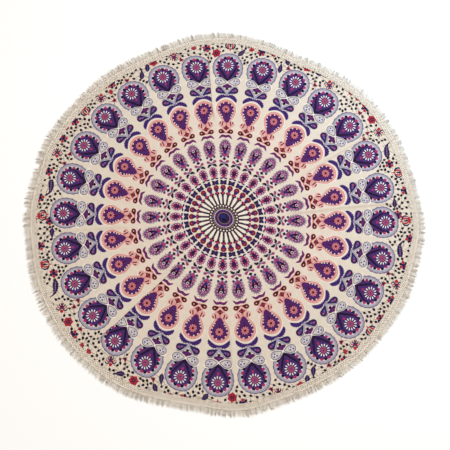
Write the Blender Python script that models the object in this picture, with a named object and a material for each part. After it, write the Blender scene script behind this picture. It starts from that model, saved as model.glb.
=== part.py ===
"""Round printed cotton beach towel lying open on the ground, with a fringed lace trim.

Two sewn pieces, in metres, +Z up, resting on z = 0:
  printed_cloth  the round of cotton with its turned hem, its tucks, ridges and swells
  fringed_trim   the lace tape that laps over the hem, with its fringe of cotton locks

Bearings are in degrees, clockwise from the far side (+Y) as seen from above.
"""
import functools
import math
import random
from collections import namedtuple

import bpy
import bmesh
import numpy as np

# Centre of the printed rays; the whole towel is then centred on the origin.
PRINT_CENTRE = (-0.0042, -0.0071)

# Cotton round
NOMINAL_RADIUS = 0.85
CLOTH_THICK = 0.0015
HEM_THICK = 0.0023
HEM_WIDTH = 0.010
COLUMN_STEP = 6.0
COLUMN_CLEARANCE = 1.0
INNER_RINGS = (0.070, 0.180, 0.280, 0.330, 0.380, 0.440, 0.480, 0.520, 0.580, 0.640, 0.700)
BORDER_RING_SHARES = (0.22, 0.42, 0.58, 0.72, 0.86)
HEM_ROUNDING = 0.001

# Lace tape, lapped over the hem and stepping down to the ground outside it
TAPE_THICK = 0.0012
TAPE_LAP = 0.009
TAPE_REACH = 0.020
TAPE_SHELF = 0.003
TAPE_STEP = 0.005
SEWN_GAP = 0.0003
TAPE_COLUMNS = 126

# Fringe
LOCKS_PER_COLUMN = 2
LOCK_WIDTH_SHARE = 0.66
LOCK_BELLY_SHARE = 0.45
LOCK_BELLY_THICK = 0.0022
LOCK_TIP_THICK = 0.0010
LOCK_TIP_NARROWING = 0.55
LOCK_LENGTH_SPREAD = 0.10
LOCK_SWAY = 0.0016
FRINGE_SEED = 5

# Edge of the cotton and the length of the fringe beyond the tape, round the towel
Edge = namedtuple("Edge", "bearing hem_radius fringe_length")
EDGE = [Edge(*row) for row in (
    (0.0, 0.852, 0.028),
    (12.0, 0.835, 0.028),
    (20.0, 0.824, 0.028),
    (32.0, 0.837, 0.029),
    (45.0, 0.857, 0.030),
    (60.0, 0.862, 0.029),
    (75.0, 0.858, 0.029),
    (82.0, 0.863, 0.029),
    (90.0, 0.875, 0.032),
    (100.0, 0.864, 0.033),
    (112.0, 0.859, 0.034),
    (122.0, 0.849, 0.029),
    (135.0, 0.841, 0.029),
    (148.0, 0.829, 0.030),
    (160.0, 0.825, 0.032),
    (172.0, 0.838, 0.032),
    (185.0, 0.824, 0.030),
    (195.0, 0.830, 0.030),
    (207.0, 0.856, 0.031),
    (222.0, 0.866, 0.031),
    (238.0, 0.868, 0.035),
    (250.0, 0.866, 0.034),
    (260.0, 0.860, 0.032),
    (270.0, 0.865, 0.035),
    (280.0, 0.856, 0.033),
    (290.0, 0.861, 0.035),
    (303.0, 0.848, 0.031),
    (318.0, 0.842, 0.033),
    (335.0, 0.832, 0.032),
    (350.0, 0.851, 0.032),
)]

# Creases that run out from the centre. A tuck laps the cotton over itself,
# a ridge only lifts it. Each fades in and out over FADE at its two ends.
Crease = namedtuple("Crease", "kind bearing inner_radius outer_radius steepest_slope")
CREASES = [Crease(*row) for row in (
    ("tuck", 353.5, 0.500, 0.780, 180.0),
    ("ridge", 57.6, 0.420, 0.785, 46.0),
    ("ridge", 82.6, 0.300, 0.785, 42.0),
    ("ridge", 173.6, 0.480, 0.765, 40.0),
    ("tuck", 224.0, 0.330, 0.780, 178.0),
    ("ridge", 263.4, 0.440, 0.780, 36.0),
)]
FADE = 0.110

# Tuck section: up and back in one turn, forward again in the next, then a slope to the ground
TUCK_TURN = 0.0044
TUCK_BACK = 0.0034
TUCK_SLOPE = 0.0300
TUCK_LEAD = 0.0040
RIDGE_WIDTH = 0.040

# Points across each kind of crease, as shares of the stretches of its section
TUCK_TURN_STEPS = 4
TUCK_SLOPE_STEPS = 4
RIDGE_STEPS = 6
SECTION_SAMPLES = 480

# Broad low swells where the cotton stands off the ground
Swell = namedtuple("Swell", "bearing radius heading half_length half_width height")
SWELLS = [Swell(*row) for row in (
    (20.0, 0.560, 35.0, 0.220, 0.055, 0.0035),
    (112.0, 0.470, 100.0, 0.240, 0.060, 0.0040),
    (150.0, 0.620, 170.0, 0.180, 0.050, 0.0030),
    (205.0, 0.450, 195.0, 0.230, 0.055, 0.0035),
    (243.0, 0.580, 255.0, 0.200, 0.060, 0.0040),
    (292.0, 0.520, 310.0, 0.240, 0.060, 0.0040),
    (325.0, 0.610, 320.0, 0.180, 0.050, 0.0030),
)]

COTTON_COLOUR = (0.72, 0.63, 0.47, 1.0)
LACE_COLOUR = (0.78, 0.72, 0.62, 1.0)
FABRIC_ROUGHNESS = 0.9


def smooth_step(share):
    """0 to 1 with level ends, for a share clipped to 0..1."""
    share = np.clip(share, 0.0, 1.0)
    return share * share * (3.0 - 2.0 * share)


def wrap_degrees(angle):
    """The same angle between -180 and 180."""
    return (np.asarray(angle) + 180.0) % 360.0 - 180.0


def around(bearing, column):
    """A column of EDGE at any bearing, on one smooth closed curve through its rows."""
    wrapped = EDGE[-2:] + EDGE + EDGE[:2]
    turns = [-360.0] * 2 + [0.0] * len(EDGE) + [360.0] * 2
    knots = np.array([row.bearing + turn for row, turn in zip(wrapped, turns)])
    values = np.array([getattr(row, column) for row in wrapped])
    slopes = np.gradient(values, knots)
    bearing = np.mod(np.asarray(bearing, dtype=float), 360.0)
    row = np.clip(np.searchsorted(knots, bearing, side="right") - 1, 0, len(knots) - 2)
    span = knots[row + 1] - knots[row]
    t = (bearing - knots[row]) / span
    start_weight = 2.0 * t**3 - 3.0 * t**2 + 1.0
    start_pull = t**3 - 2.0 * t**2 + t
    end_pull = t**3 - t**2
    return (start_weight * values[row] + start_pull * span * slopes[row]
            + (1.0 - start_weight) * values[row + 1] + end_pull * span * slopes[row + 1])


def tuck_marks():
    """Flat distances along a tuck's section where its turns and its slope begin and end."""
    marks = [0.0, TUCK_LEAD, TUCK_LEAD + TUCK_TURN]
    marks.append(marks[-1] + TUCK_BACK)
    marks.append(marks[-1] + TUCK_TURN)
    marks.append(marks[-1] + TUCK_SLOPE)
    return marks


def running_sum(values, step):
    """Length gathered along a curve from its start, by the trapezium rule."""
    return np.concatenate([[0.0], np.cumsum(0.5 * (values[1:] + values[:-1])) * step])


@functools.lru_cache(maxsize=None)
def crease_section(kind, steepest):
    """Section of a crease whose cotton turns up to `steepest` radians from level.

    Gives flat distance, laid distance, height and slope angle along the section,
    measured from its middle, and the width that it takes up.
    """
    if kind == "ridge":
        flat = np.linspace(0.0, RIDGE_WIDTH, SECTION_SAMPLES)
        slope = steepest * np.sin(2.0 * math.pi * flat / RIDGE_WIDTH)
    else:
        lead, turn_end, back_end, crest, length = tuck_marks()[1:]
        flat = np.linspace(0.0, length, SECTION_SAMPLES)
        rise = smooth_step((flat - lead) / (turn_end - lead))
        fall = smooth_step((flat - back_end) / (crest - back_end))
        slope = steepest * (rise - fall)
    step = flat[1] - flat[0]
    height = running_sum(np.sin(slope), step)
    if kind == "tuck":
        descent = np.where(flat > crest, np.sin(math.pi * (flat - crest) / TUCK_SLOPE), 0.0)
        slope = slope - height[-1] * math.pi / (2.0 * TUCK_SLOPE) * descent
        height = running_sum(np.sin(slope), step)
    laid = running_sum(np.cos(slope), step)
    taken_up = flat[-1] - laid[-1]
    middle = 0.5 * flat[-1]
    return flat - middle, laid - middle + 0.5 * taken_up, height, slope, taken_up


def section_points(kind):
    """Flat distances from a crease's middle line at which the mesh has a column."""
    if kind == "ridge":
        return list(np.linspace(-0.5, 0.5, RIDGE_STEPS + 1) * RIDGE_WIDTH)
    marks = tuck_marks()
    steps = (1, TUCK_TURN_STEPS, 1, TUCK_TURN_STEPS, TUCK_SLOPE_STEPS)
    points = [marks[0]]
    for start, end, count in zip(marks[:-1], marks[1:], steps):
        points += [start + (end - start) * (i + 1) / count for i in range(count)]
    return [point - 0.5 * marks[-1] for point in points]


def swell_height(east, north):
    """Height of the broad swells at a place measured from the print's centre."""
    height = 0.0
    for bearing, radius, heading, half_length, half_width, rise in SWELLS:
        dx = east - radius * math.sin(math.radians(bearing))
        dy = north - radius * math.cos(math.radians(bearing))
        along = dx * math.sin(math.radians(heading)) + dy * math.cos(math.radians(heading))
        across = dx * math.cos(math.radians(heading)) - dy * math.sin(math.radians(heading))
        reach = math.hypot(along / half_length, across / half_width)
        height += rise * float(smooth_step(1.0 - reach))
    return height


def laid_point(flat_radius, flat_bearing, thick):
    """Top and bottom points of the cotton laid on the ground, for one point of its cut shape."""
    turn = 0.0
    lift = 0.0
    lean = 0.0
    for crease in CREASES:
        strength = float(smooth_step((flat_radius - crease.inner_radius) / FADE + 0.5)
                         * smooth_step((crease.outer_radius - flat_radius) / FADE + 0.5))
        if strength == 0.0:
            continue
        steepest = math.radians(crease.steepest_slope) * strength
        flat, laid, height, slope, taken_up = crease_section(crease.kind, steepest)
        away = float(wrap_degrees(flat_bearing - crease.bearing))
        distance = math.radians(away) * flat_radius
        if abs(distance) <= flat[-1]:
            turn += math.degrees((np.interp(distance, flat, laid) - distance) / flat_radius)
            lift += float(np.interp(distance, flat, height))
            lean += float(np.interp(distance, flat, slope))
        else:
            share = 0.5 - abs(away) / 360.0
            turn -= math.copysign(math.degrees(share * taken_up / flat_radius), away)
    bearing = math.radians(flat_bearing + turn)
    east = flat_radius * math.sin(bearing)
    north = flat_radius * math.cos(bearing)
    middle = 0.5 * thick + lift + swell_height(east, north)
    aside = -0.5 * thick * math.sin(lean)
    above = 0.5 * thick * math.cos(lean)
    clockwise = (math.cos(bearing), -math.sin(bearing))
    points = []
    for side in (1.0, -1.0):
        points.append((PRINT_CENTRE[0] + east + side * aside * clockwise[0],
                       PRINT_CENTRE[1] + north + side * aside * clockwise[1],
                       middle + side * above))
    return points


def cloth_columns():
    """Bearing and flat offset of each column of the cotton's mesh, in order round the towel."""
    columns = []
    for crease in CREASES:
        columns += [(crease.bearing, offset, crease.inner_radius) for offset in section_points(crease.kind)]
    for i in range(round(360.0 / COLUMN_STEP)):
        bearing = i * COLUMN_STEP
        spans = [math.degrees(section_points(crease.kind)[-1] / crease.inner_radius) for crease in CREASES]
        if all(abs(wrap_degrees(bearing - crease.bearing)) > span + COLUMN_CLEARANCE
               for crease, span in zip(CREASES, spans)):
            columns.append((bearing, 0.0, 1.0))
    return sorted(columns, key=lambda column: column[0] + math.degrees(column[1] / column[2]))


def ring_stations(edge):
    """Distance from the centre and thickness at each ring, on a column whose edge is given."""
    fold_line = edge - HEM_WIDTH
    border = fold_line - HEM_ROUNDING - INNER_RINGS[-1]
    stations = [(radius, CLOTH_THICK) for radius in INNER_RINGS]
    stations += [(INNER_RINGS[-1] + share * border, CLOTH_THICK) for share in BORDER_RING_SHARES]
    stations.append((fold_line - HEM_ROUNDING, CLOTH_THICK))
    stations.append((fold_line + HEM_ROUNDING, HEM_THICK))
    stations.append((edge, HEM_THICK))
    return stations


def printed_cloth_mesh():
    """The cotton round: a closed sheet with its hem, on the creases and the swells."""
    columns = cloth_columns()
    verts = []
    rings = [[] for _ in ring_stations(1.0)]
    for bearing, offset, inner in columns:
        edge = float(around(bearing + math.degrees(offset / NOMINAL_RADIUS), "hem_radius"))
        for ring, (radius, thick) in zip(rings, ring_stations(edge)):
            flat_bearing = bearing + math.degrees(offset / max(radius, inner))
            ring.append((len(verts), len(verts) + 1))
            verts += laid_point(radius, flat_bearing, thick)
    count = len(columns)
    top_centre = len(verts)
    verts += laid_point(0.0, 0.0, CLOTH_THICK)
    faces = []
    for i in range(count):
        j = (i + 1) % count
        faces.append((top_centre, rings[0][j][0], rings[0][i][0]))
        faces.append((top_centre + 1, rings[0][i][1], rings[0][j][1]))
        for near, far in zip(rings[:-1], rings[1:]):
            faces.append((near[i][0], near[j][0], far[j][0], far[i][0]))
            faces.append((near[j][1], near[i][1], far[i][1], far[j][1]))
        rim = rings[-1]
        faces.append((rim[i][0], rim[j][0], rim[j][1], rim[i][1]))
    return verts, faces


def on_ground(bearing, radius, height):
    """A point at a bearing and distance from the print's centre."""
    angle = math.radians(bearing)
    return (PRINT_CENTRE[0] + radius * math.sin(angle),
            PRINT_CENTRE[1] + radius * math.cos(angle),
            height)


def tape_section():
    """Outline of the tape's section as (distance from the hem, height), without its outer side."""
    lapped = HEM_THICK + SEWN_GAP
    foot = TAPE_SHELF + TAPE_STEP
    top = [(-TAPE_LAP, lapped + TAPE_THICK), (TAPE_SHELF, lapped + TAPE_THICK), (foot, TAPE_THICK)]
    bottom = [(foot, 0.0), (TAPE_SHELF, lapped), (-TAPE_LAP, lapped)]
    return top, bottom


def lock_points(bearing, pitch, side_radii, length, rng):
    """Belly and tip sections of one lock, each as four points: left and right, top and bottom."""
    sway = rng.uniform(-LOCK_SWAY, LOCK_SWAY)
    sections = []
    half = 0.5 * LOCK_WIDTH_SHARE * pitch
    root = 0.5 * sum(side_radii)
    for share, thick, narrowing in ((LOCK_BELLY_SHARE, LOCK_BELLY_THICK, 1.0),
                                    (1.0, LOCK_TIP_THICK, LOCK_TIP_NARROWING)):
        radius = root + share * length
        drift = math.degrees(sway * share / radius)
        left = bearing - half * narrowing + drift
        right = bearing + half * narrowing + drift
        sections.append([on_ground(left, radius, thick), on_ground(right, radius, thick),
                         on_ground(right, radius, 0.0), on_ground(left, radius, 0.0)])
    return sections


def fringed_trim_mesh():
    """The lace tape with its fringe of locks, one closed body resting on the ground."""
    rng = random.Random(FRINGE_SEED)
    top_section, bottom_section = tape_section()
    column_step = 360.0 / TAPE_COLUMNS
    pitch = column_step / LOCKS_PER_COLUMN
    verts = []
    top_rows = []
    bottom_rows = []
    for i in range(TAPE_COLUMNS):
        bearing = i * column_step
        hem = float(around(bearing, "hem_radius"))
        top_rows.append(list(range(len(verts), len(verts) + len(top_section))))
        verts += [on_ground(bearing, hem + out, height) for out, height in top_section]
        bottom_rows.append(list(range(len(verts), len(verts) + len(bottom_section))))
        verts += [on_ground(bearing, hem + out, height) for out, height in bottom_section]

    # Outer side of the tape: between two columns each lock has a left and a right root point.
    side = []
    for i in range(TAPE_COLUMNS):
        for lock in range(LOCKS_PER_COLUMN):
            middle = i * column_step + (lock + 0.5) * pitch
            for edge in (-0.5, 0.5):
                bearing = middle + edge * LOCK_WIDTH_SHARE * pitch
                radius = float(around(bearing, "hem_radius")) + TAPE_REACH
                side.append((len(verts), len(verts) + 1, radius, middle))
                verts += [on_ground(bearing, radius, TAPE_THICK), on_ground(bearing, radius, 0.0)]

    faces = []
    per_column = 2 * LOCKS_PER_COLUMN
    for i in range(TAPE_COLUMNS):
        j = (i + 1) % TAPE_COLUMNS
        here, there = top_rows[i], top_rows[j]
        for k in range(len(top_section) - 1):
            faces.append((here[k], there[k], there[k + 1], here[k + 1]))
        below, beyond = bottom_rows[i], bottom_rows[j]
        for k in range(len(bottom_section) - 1):
            faces.append((below[k], beyond[k], beyond[k + 1], below[k + 1]))
        faces.append((below[-1], beyond[-1], there[0], here[0]))
        ends = side[i * per_column:(i + 1) * per_column]
        next_end = side[((i + 1) * per_column) % len(side)]
        # Top and bottom strips from the foot of the step out to the roots of the locks.
        for level, near, far in ((0, here[-1], there[-1]), (1, below[0], beyond[0])):
            outer = [end[level] for end in ends] + [next_end[level]]
            split = len(outer) // 2
            strip = [(near, outer[k + 1], outer[k]) for k in range(split)]
            strip.append((near, far, outer[split]))
            strip += [(far, outer[k + 1], outer[k]) for k in range(split, len(outer) - 1)]
            faces += strip if level == 0 else [tuple(reversed(face)) for face in strip]

    for k in range(len(side)):
        left, right = side[k], side[(k + 1) % len(side)]
        if k % 2:
            faces.append((left[0], right[0], right[1], left[1]))
            continue
        length = float(around(left[3], "fringe_length"))
        length *= 1.0 + rng.uniform(-LOCK_LENGTH_SPREAD, LOCK_LENGTH_SPREAD)
        ring = [left[0], right[0], right[1], left[1]]
        for section in lock_points(left[3], pitch, (left[2], right[2]), length, rng):
            outer_ring = list(range(len(verts), len(verts) + 4))
            verts += section
            for a in range(4):
                b = (a + 1) % 4
                faces.append((ring[a], ring[b], outer_ring[b], outer_ring[a]))
            ring = outer_ring
        faces.append(tuple(ring))
    return verts, faces


def fabric(name, colour):
    """A plain matt cloth material."""
    material = bpy.data.materials.new(name)
    material.use_nodes = True
    shader = material.node_tree.nodes["Principled BSDF"]
    shader.inputs["Base Color"].default_value = colour
    shader.inputs["Roughness"].default_value = FABRIC_ROUGHNESS
    shader.inputs["Metallic"].default_value = 0.0
    material.diffuse_color = colour
    return material


def sewn_piece(name, verts, faces, material):
    """One named object from a closed shell, its faces turned outwards."""
    mesh = bpy.data.meshes.new(name)
    mesh.from_pydata(verts, [], faces)
    shell = bmesh.new()
    shell.from_mesh(mesh)
    bmesh.ops.triangulate(shell, faces=shell.faces[:])
    bmesh.ops.recalc_face_normals(shell, faces=shell.faces[:])
    shell.to_mesh(mesh)
    shell.free()
    mesh.materials.append(material)
    piece = bpy.data.objects.new(name, mesh)
    bpy.context.scene.collection.objects.link(piece)
    return piece


def main():
    for old in list(bpy.data.objects):
        bpy.data.objects.remove(old, do_unlink=True)
    sewn_piece("printed_cloth", *printed_cloth_mesh(), fabric("cotton", COTTON_COLOUR))
    sewn_piece("fringed_trim", *fringed_trim_mesh(), fabric("lace", LACE_COLOUR))


main()
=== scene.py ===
"""Looks of a round printed cotton beach towel, lying open and seen from above.

Metres, +Z up, the ground at z = 0. The pieces:
  printed_towel   the round of thin cotton: its print, turned hem, tucks, ridges and swells
  lace_tape       the crocheted tape that laps over the hem
  yarn_fringe     the locks of cotton yarn rooted in the tape
  tape_stitches   the thread that sews the tape to the hem

The print is drawn flat, in millimetres, on the shape in which the cotton was cut, and is
then laid on the ground with the same creases as the solid. Bearings are in degrees,
clockwise from the far side (+Y) as seen from above.
"""

import math
import random
from collections import namedtuple

import bpy
import numpy as np
from mathutils import Matrix, Vector
from mathutils.bvhtree import BVHTree
from mathutils.geometry import delaunay_2d_cdt


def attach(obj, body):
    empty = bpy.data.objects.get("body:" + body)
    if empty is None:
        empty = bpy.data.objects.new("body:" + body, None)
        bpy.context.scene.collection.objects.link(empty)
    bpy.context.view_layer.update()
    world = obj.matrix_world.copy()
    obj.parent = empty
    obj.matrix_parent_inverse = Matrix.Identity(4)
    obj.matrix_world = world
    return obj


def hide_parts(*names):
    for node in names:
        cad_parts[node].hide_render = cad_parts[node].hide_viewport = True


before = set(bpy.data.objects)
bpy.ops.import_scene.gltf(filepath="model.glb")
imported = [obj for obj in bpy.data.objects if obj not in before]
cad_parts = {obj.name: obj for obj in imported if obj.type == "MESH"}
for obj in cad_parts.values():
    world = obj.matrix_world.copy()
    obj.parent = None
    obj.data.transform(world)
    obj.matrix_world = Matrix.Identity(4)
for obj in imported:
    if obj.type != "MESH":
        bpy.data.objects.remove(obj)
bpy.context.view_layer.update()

MM = 0.001

# ---------------------------------------------------------------- the laid cotton

# Centre of the printed rays; the whole towel is centred on the origin.
PRINT_CENTRE = (-0.0042, -0.0071)
COTTON_THICK = 0.0009
HEM_THICK = 0.0021
HEM_WIDTH = 0.010
HEM_ROUNDING = 0.001

# Edge of the cotton and the length of the fringe beyond the tape, round the towel
Edge = namedtuple("Edge", "bearing hem_radius fringe_length")
EDGE = [Edge(*row) for row in (
    (0.0, 0.852, 0.028),
    (12.0, 0.835, 0.028),
    (20.0, 0.824, 0.028),
    (32.0, 0.837, 0.029),
    (45.0, 0.857, 0.030),
    (60.0, 0.862, 0.029),
    (75.0, 0.858, 0.029),
    (82.0, 0.863, 0.029),
    (90.0, 0.875, 0.032),
    (100.0, 0.864, 0.033),
    (112.0, 0.859, 0.034),
    (122.0, 0.849, 0.029),
    (135.0, 0.841, 0.029),
    (148.0, 0.829, 0.030),
    (160.0, 0.825, 0.032),
    (172.0, 0.838, 0.032),
    (185.0, 0.824, 0.030),
    (195.0, 0.830, 0.030),
    (207.0, 0.856, 0.031),
    (222.0, 0.866, 0.031),
    (238.0, 0.868, 0.035),
    (250.0, 0.866, 0.034),
    (260.0, 0.860, 0.032),
    (270.0, 0.865, 0.035),
    (280.0, 0.856, 0.033),
    (290.0, 0.861, 0.035),
    (303.0, 0.848, 0.031),
    (318.0, 0.842, 0.033),
    (335.0, 0.832, 0.032),
    (350.0, 0.851, 0.032),
)]

# Creases that run out from the centre. A tuck laps the cotton over itself,
# a ridge only lifts it. Each fades in and out over FADE at its two ends.
Crease = namedtuple("Crease", "kind bearing inner_radius outer_radius steepest_slope")
CREASES = [Crease(*row) for row in (
    ("tuck", 353.5, 0.500, 0.780, 180.0),
    ("ridge", 57.6, 0.420, 0.785, 46.0),
    ("ridge", 82.6, 0.300, 0.785, 42.0),
    ("ridge", 173.6, 0.480, 0.765, 40.0),
    ("tuck", 224.0, 0.330, 0.780, 178.0),
    ("ridge", 263.4, 0.440, 0.780, 36.0),
)]
FADE = 0.110

# Tuck section: up and back in one turn, forward again in the next, then a slope to the ground
TUCK_TURN = 0.0044
TUCK_BACK = 0.0034
TUCK_SLOPE = 0.0300
TUCK_LEAD = 0.0040
RIDGE_WIDTH = 0.040
SECTION_SAMPLES = 480
STRENGTH_LEVELS = 65

# Broad low swells where the cotton stands off the ground
Swell = namedtuple("Swell", "bearing radius heading half_length half_width height")
SWELLS = [Swell(*row) for row in (
    (20.0, 0.560, 35.0, 0.220, 0.055, 0.0035),
    (112.0, 0.470, 100.0, 0.240, 0.060, 0.0040),
    (150.0, 0.620, 170.0, 0.180, 0.050, 0.0030),
    (205.0, 0.450, 195.0, 0.230, 0.055, 0.0035),
    (243.0, 0.580, 255.0, 0.200, 0.060, 0.0040),
    (292.0, 0.520, 310.0, 0.240, 0.060, 0.0040),
    (325.0, 0.610, 320.0, 0.180, 0.050, 0.0030),
)]


def smooth_step(share):
    """0 to 1 with level ends, for a share clipped to 0..1."""
    share = np.clip(share, 0.0, 1.0)
    return share * share * (3.0 - 2.0 * share)


def wrap_degrees(angle):
    """The same angle between -180 and 180."""
    return (np.asarray(angle) + 180.0) % 360.0 - 180.0


def around(bearing, column):
    """A column of EDGE at any bearing, on one smooth closed curve through its rows."""
    wrapped = EDGE[-2:] + EDGE + EDGE[:2]
    turns = [-360.0] * 2 + [0.0] * len(EDGE) + [360.0] * 2
    knots = np.array([row.bearing + turn for row, turn in zip(wrapped, turns)])
    values = np.array([getattr(row, column) for row in wrapped])
    slopes = np.gradient(values, knots)
    bearing = np.mod(np.asarray(bearing, dtype=float), 360.0)
    row = np.clip(np.searchsorted(knots, bearing, side="right") - 1, 0, len(knots) - 2)
    span = knots[row + 1] - knots[row]
    t = (bearing - knots[row]) / span
    start_weight = 2.0 * t**3 - 3.0 * t**2 + 1.0
    start_pull = t**3 - 2.0 * t**2 + t
    end_pull = t**3 - t**2
    return (start_weight * values[row] + start_pull * span * slopes[row]
            + (1.0 - start_weight) * values[row + 1] + end_pull * span * slopes[row + 1])


def running_sum(values, step):
    """Length gathered along a curve from its start, by the trapezium rule."""
    return np.concatenate([[0.0], np.cumsum(0.5 * (values[1:] + values[:-1])) * step])


def tuck_marks():
    """Flat distances along a tuck's section where its turns and its slope begin and end."""
    marks = [0.0, TUCK_LEAD, TUCK_LEAD + TUCK_TURN]
    marks.append(marks[-1] + TUCK_BACK)
    marks.append(marks[-1] + TUCK_TURN)
    marks.append(marks[-1] + TUCK_SLOPE)
    return marks


def crease_section(kind, steepest):
    """Flat distance, laid distance, height and slope angle along a crease's section.

    They are measured from its middle; the last value is the width that it takes up.
    `steepest` is how far the cotton turns up from level, in radians.
    """
    if kind == "ridge":
        flat = np.linspace(0.0, RIDGE_WIDTH, SECTION_SAMPLES)
        slope = steepest * np.sin(2.0 * math.pi * flat / RIDGE_WIDTH)
    else:
        lead, turn_end, back_end, crest, length = tuck_marks()[1:]
        flat = np.linspace(0.0, length, SECTION_SAMPLES)
        rise = smooth_step((flat - lead) / (turn_end - lead))
        fall = smooth_step((flat - back_end) / (crest - back_end))
        slope = steepest * (rise - fall)
    step = flat[1] - flat[0]
    height = running_sum(np.sin(slope), step)
    if kind == "tuck":
        descent = np.where(flat > crest, np.sin(math.pi * (flat - crest) / TUCK_SLOPE), 0.0)
        slope = slope - height[-1] * math.pi / (2.0 * TUCK_SLOPE) * descent
        height = running_sum(np.sin(slope), step)
    laid = running_sum(np.cos(slope), step)
    taken_up = flat[-1] - laid[-1]
    middle = 0.5 * flat[-1]
    return flat - middle, laid - middle + 0.5 * taken_up, height, slope, taken_up


def swell_height(east, north):
    """Height of the broad swells at places measured from the print's centre."""
    height = np.zeros_like(east)
    for bearing, radius, heading, half_length, half_width, rise in SWELLS:
        dx = east - radius * math.sin(math.radians(bearing))
        dy = north - radius * math.cos(math.radians(bearing))
        along = dx * math.sin(math.radians(heading)) + dy * math.cos(math.radians(heading))
        across = dx * math.cos(math.radians(heading)) - dy * math.sin(math.radians(heading))
        height += rise * smooth_step(1.0 - np.hypot(along / half_length, across / half_width))
    return height


def laid_cotton(flat, thick):
    """Top and bottom points of the laid cotton for points of its cut shape, in metres."""
    radius = np.maximum(np.hypot(flat[:, 0], flat[:, 1]), 1e-9)
    flat_bearing = np.degrees(np.arctan2(flat[:, 0], flat[:, 1]))
    turn = np.zeros(len(flat))
    lift = np.zeros(len(flat))
    lean = np.zeros(len(flat))
    levels = np.linspace(0.0, 1.0, STRENGTH_LEVELS)
    for crease in CREASES:
        strength = (smooth_step((radius - crease.inner_radius) / FADE + 0.5)
                    * smooth_step((crease.outer_radius - radius) / FADE + 0.5))
        sections = [crease_section(crease.kind, math.radians(crease.steepest_slope) * level)
                    for level in levels]
        along = sections[0][0]
        laid, height, slope = (np.array([section[i] for section in sections]) for i in (1, 2, 3))
        taken_up = np.interp(strength, levels, [section[4] for section in sections])
        away = wrap_degrees(flat_bearing - crease.bearing)
        distance = np.radians(away) * radius
        inside = (np.abs(distance) <= along[-1]) & (strength > 0.0)
        level = np.clip(strength * (STRENGTH_LEVELS - 1), 0.0, STRENGTH_LEVELS - 1.001)
        low = level.astype(int)
        high_share = level - low
        sample = np.clip((distance - along[0]) / (along[1] - along[0]), 0.0, len(along) - 1.001)
        left = sample.astype(int)
        right_share = sample - left

        def looked_up(table):
            """The table's value between its two levels and its two samples."""
            near = table[low, left] * (1.0 - right_share) + table[low, left + 1] * right_share
            far = table[low + 1, left] * (1.0 - right_share) + table[low + 1, left + 1] * right_share
            return near * (1.0 - high_share) + far * high_share

        turn += np.where(inside, np.degrees((looked_up(laid) - distance) / radius),
                         -np.copysign(np.degrees((0.5 - np.abs(away) / 360.0) * taken_up / radius), away))
        lift += np.where(inside, looked_up(height), 0.0)
        lean += np.where(inside, looked_up(slope), 0.0)
    bearing = np.radians(flat_bearing + turn)
    east = radius * np.sin(bearing)
    north = radius * np.cos(bearing)
    middle = 0.5 * thick + lift + swell_height(east, north)
    aside = -0.5 * thick * np.sin(lean)
    above = 0.5 * thick * np.cos(lean)
    return [np.stack([PRINT_CENTRE[0] + east + side * aside * np.cos(bearing),
                      PRINT_CENTRE[1] + north - side * aside * np.sin(bearing),
                      middle + side * above], axis=1) for side in (1.0, -1.0)]


# ---------------------------------------------------------------- the drawn shapes

# Dyes as they look on the cotton, red green blue from 0 to 255
DYES = {
    "ground": (231, 218, 205),
    "halo": (243, 234, 220),
    "white": (246, 241, 238),
    "cream": (242, 234, 220),
    "black": (24, 14, 34),
    "navy": (38, 28, 74),
    "blue": (40, 42, 112),
    "indigo": (70, 42, 118),
    "deep_purple": (54, 30, 82),
    "purple": (84, 34, 100),
    "plum": (142, 38, 96),
    "mauve": (164, 98, 144),
    "pearl": (222, 217, 229),
    "lavender": (176, 168, 192),
    "lavender_grey": (128, 120, 148),
    "dusk": (98, 88, 122),
    "heather": (134, 102, 138),
    "dark_heather": (100, 76, 112),
    "grape": (60, 38, 96),
    "berry": (36, 22, 50),
    "dove": (216, 207, 202),
    "violet": (74, 44, 110),
    "rose_plum": (166, 76, 116),
    "wine": (110, 40, 102),
    "umber": (60, 32, 54),
    "periwinkle": (112, 96, 150),
    "crimson": (176, 50, 96),
    "red": (180, 40, 60),
    "brick": (126, 34, 48),
    "maroon": (72, 20, 26),
    "dusty_rose": (208, 128, 132),
    "salmon": (216, 134, 132),
    "blush": (228, 178, 174),
    "olive": (118, 108, 82),
    "gold": (128, 112, 88),
}

# How far a chord of a drawn curve may stand off the curve, in millimetres
CURVE_SLACK = 0.6


def round_count(radius):
    """Points that keep a circle within CURVE_SLACK."""
    return int(np.clip(round(math.pi * math.sqrt(radius / (2.0 * CURVE_SLACK))), 5, 40))


def oval(side, out, half_side, half_out, turn=0.0):
    """An oval about a point, turned clockwise."""
    angle = np.linspace(0.0, 2.0 * math.pi, round_count(max(half_side, half_out)), endpoint=False)
    s, o = half_side * np.cos(angle), half_out * np.sin(angle)
    c, n = math.cos(math.radians(turn)), math.sin(math.radians(turn))
    return np.stack([side + s * c + o * n, out - s * n + o * c], axis=1)


def drop(belly, radius, tip):
    """A teardrop: round about its belly and drawn to a point at its tip."""
    reach = math.dist(belly, tip)
    towards = math.atan2(tip[1] - belly[1], tip[0] - belly[0])
    open_half = math.acos(min(0.98, radius / reach))
    angle = towards + np.linspace(open_half, 2.0 * math.pi - open_half, round_count(radius))
    arc = np.stack([belly[0] + radius * np.cos(angle), belly[1] + radius * np.sin(angle)], axis=1)
    return np.vstack([arc, [tip]])


def toothed(side, out, half_side, half_out, teeth, depth):
    """An oval whose edge is cut into teeth, as deep as a share of its radius."""
    angle = np.linspace(0.0, 2.0 * math.pi, 2 * teeth, endpoint=False)
    share = np.where(np.arange(2 * teeth) % 2, 1.0, 1.0 - depth)
    return np.stack([side + half_side * share * np.sin(angle),
                     out + half_out * share * np.cos(angle)], axis=1)


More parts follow.
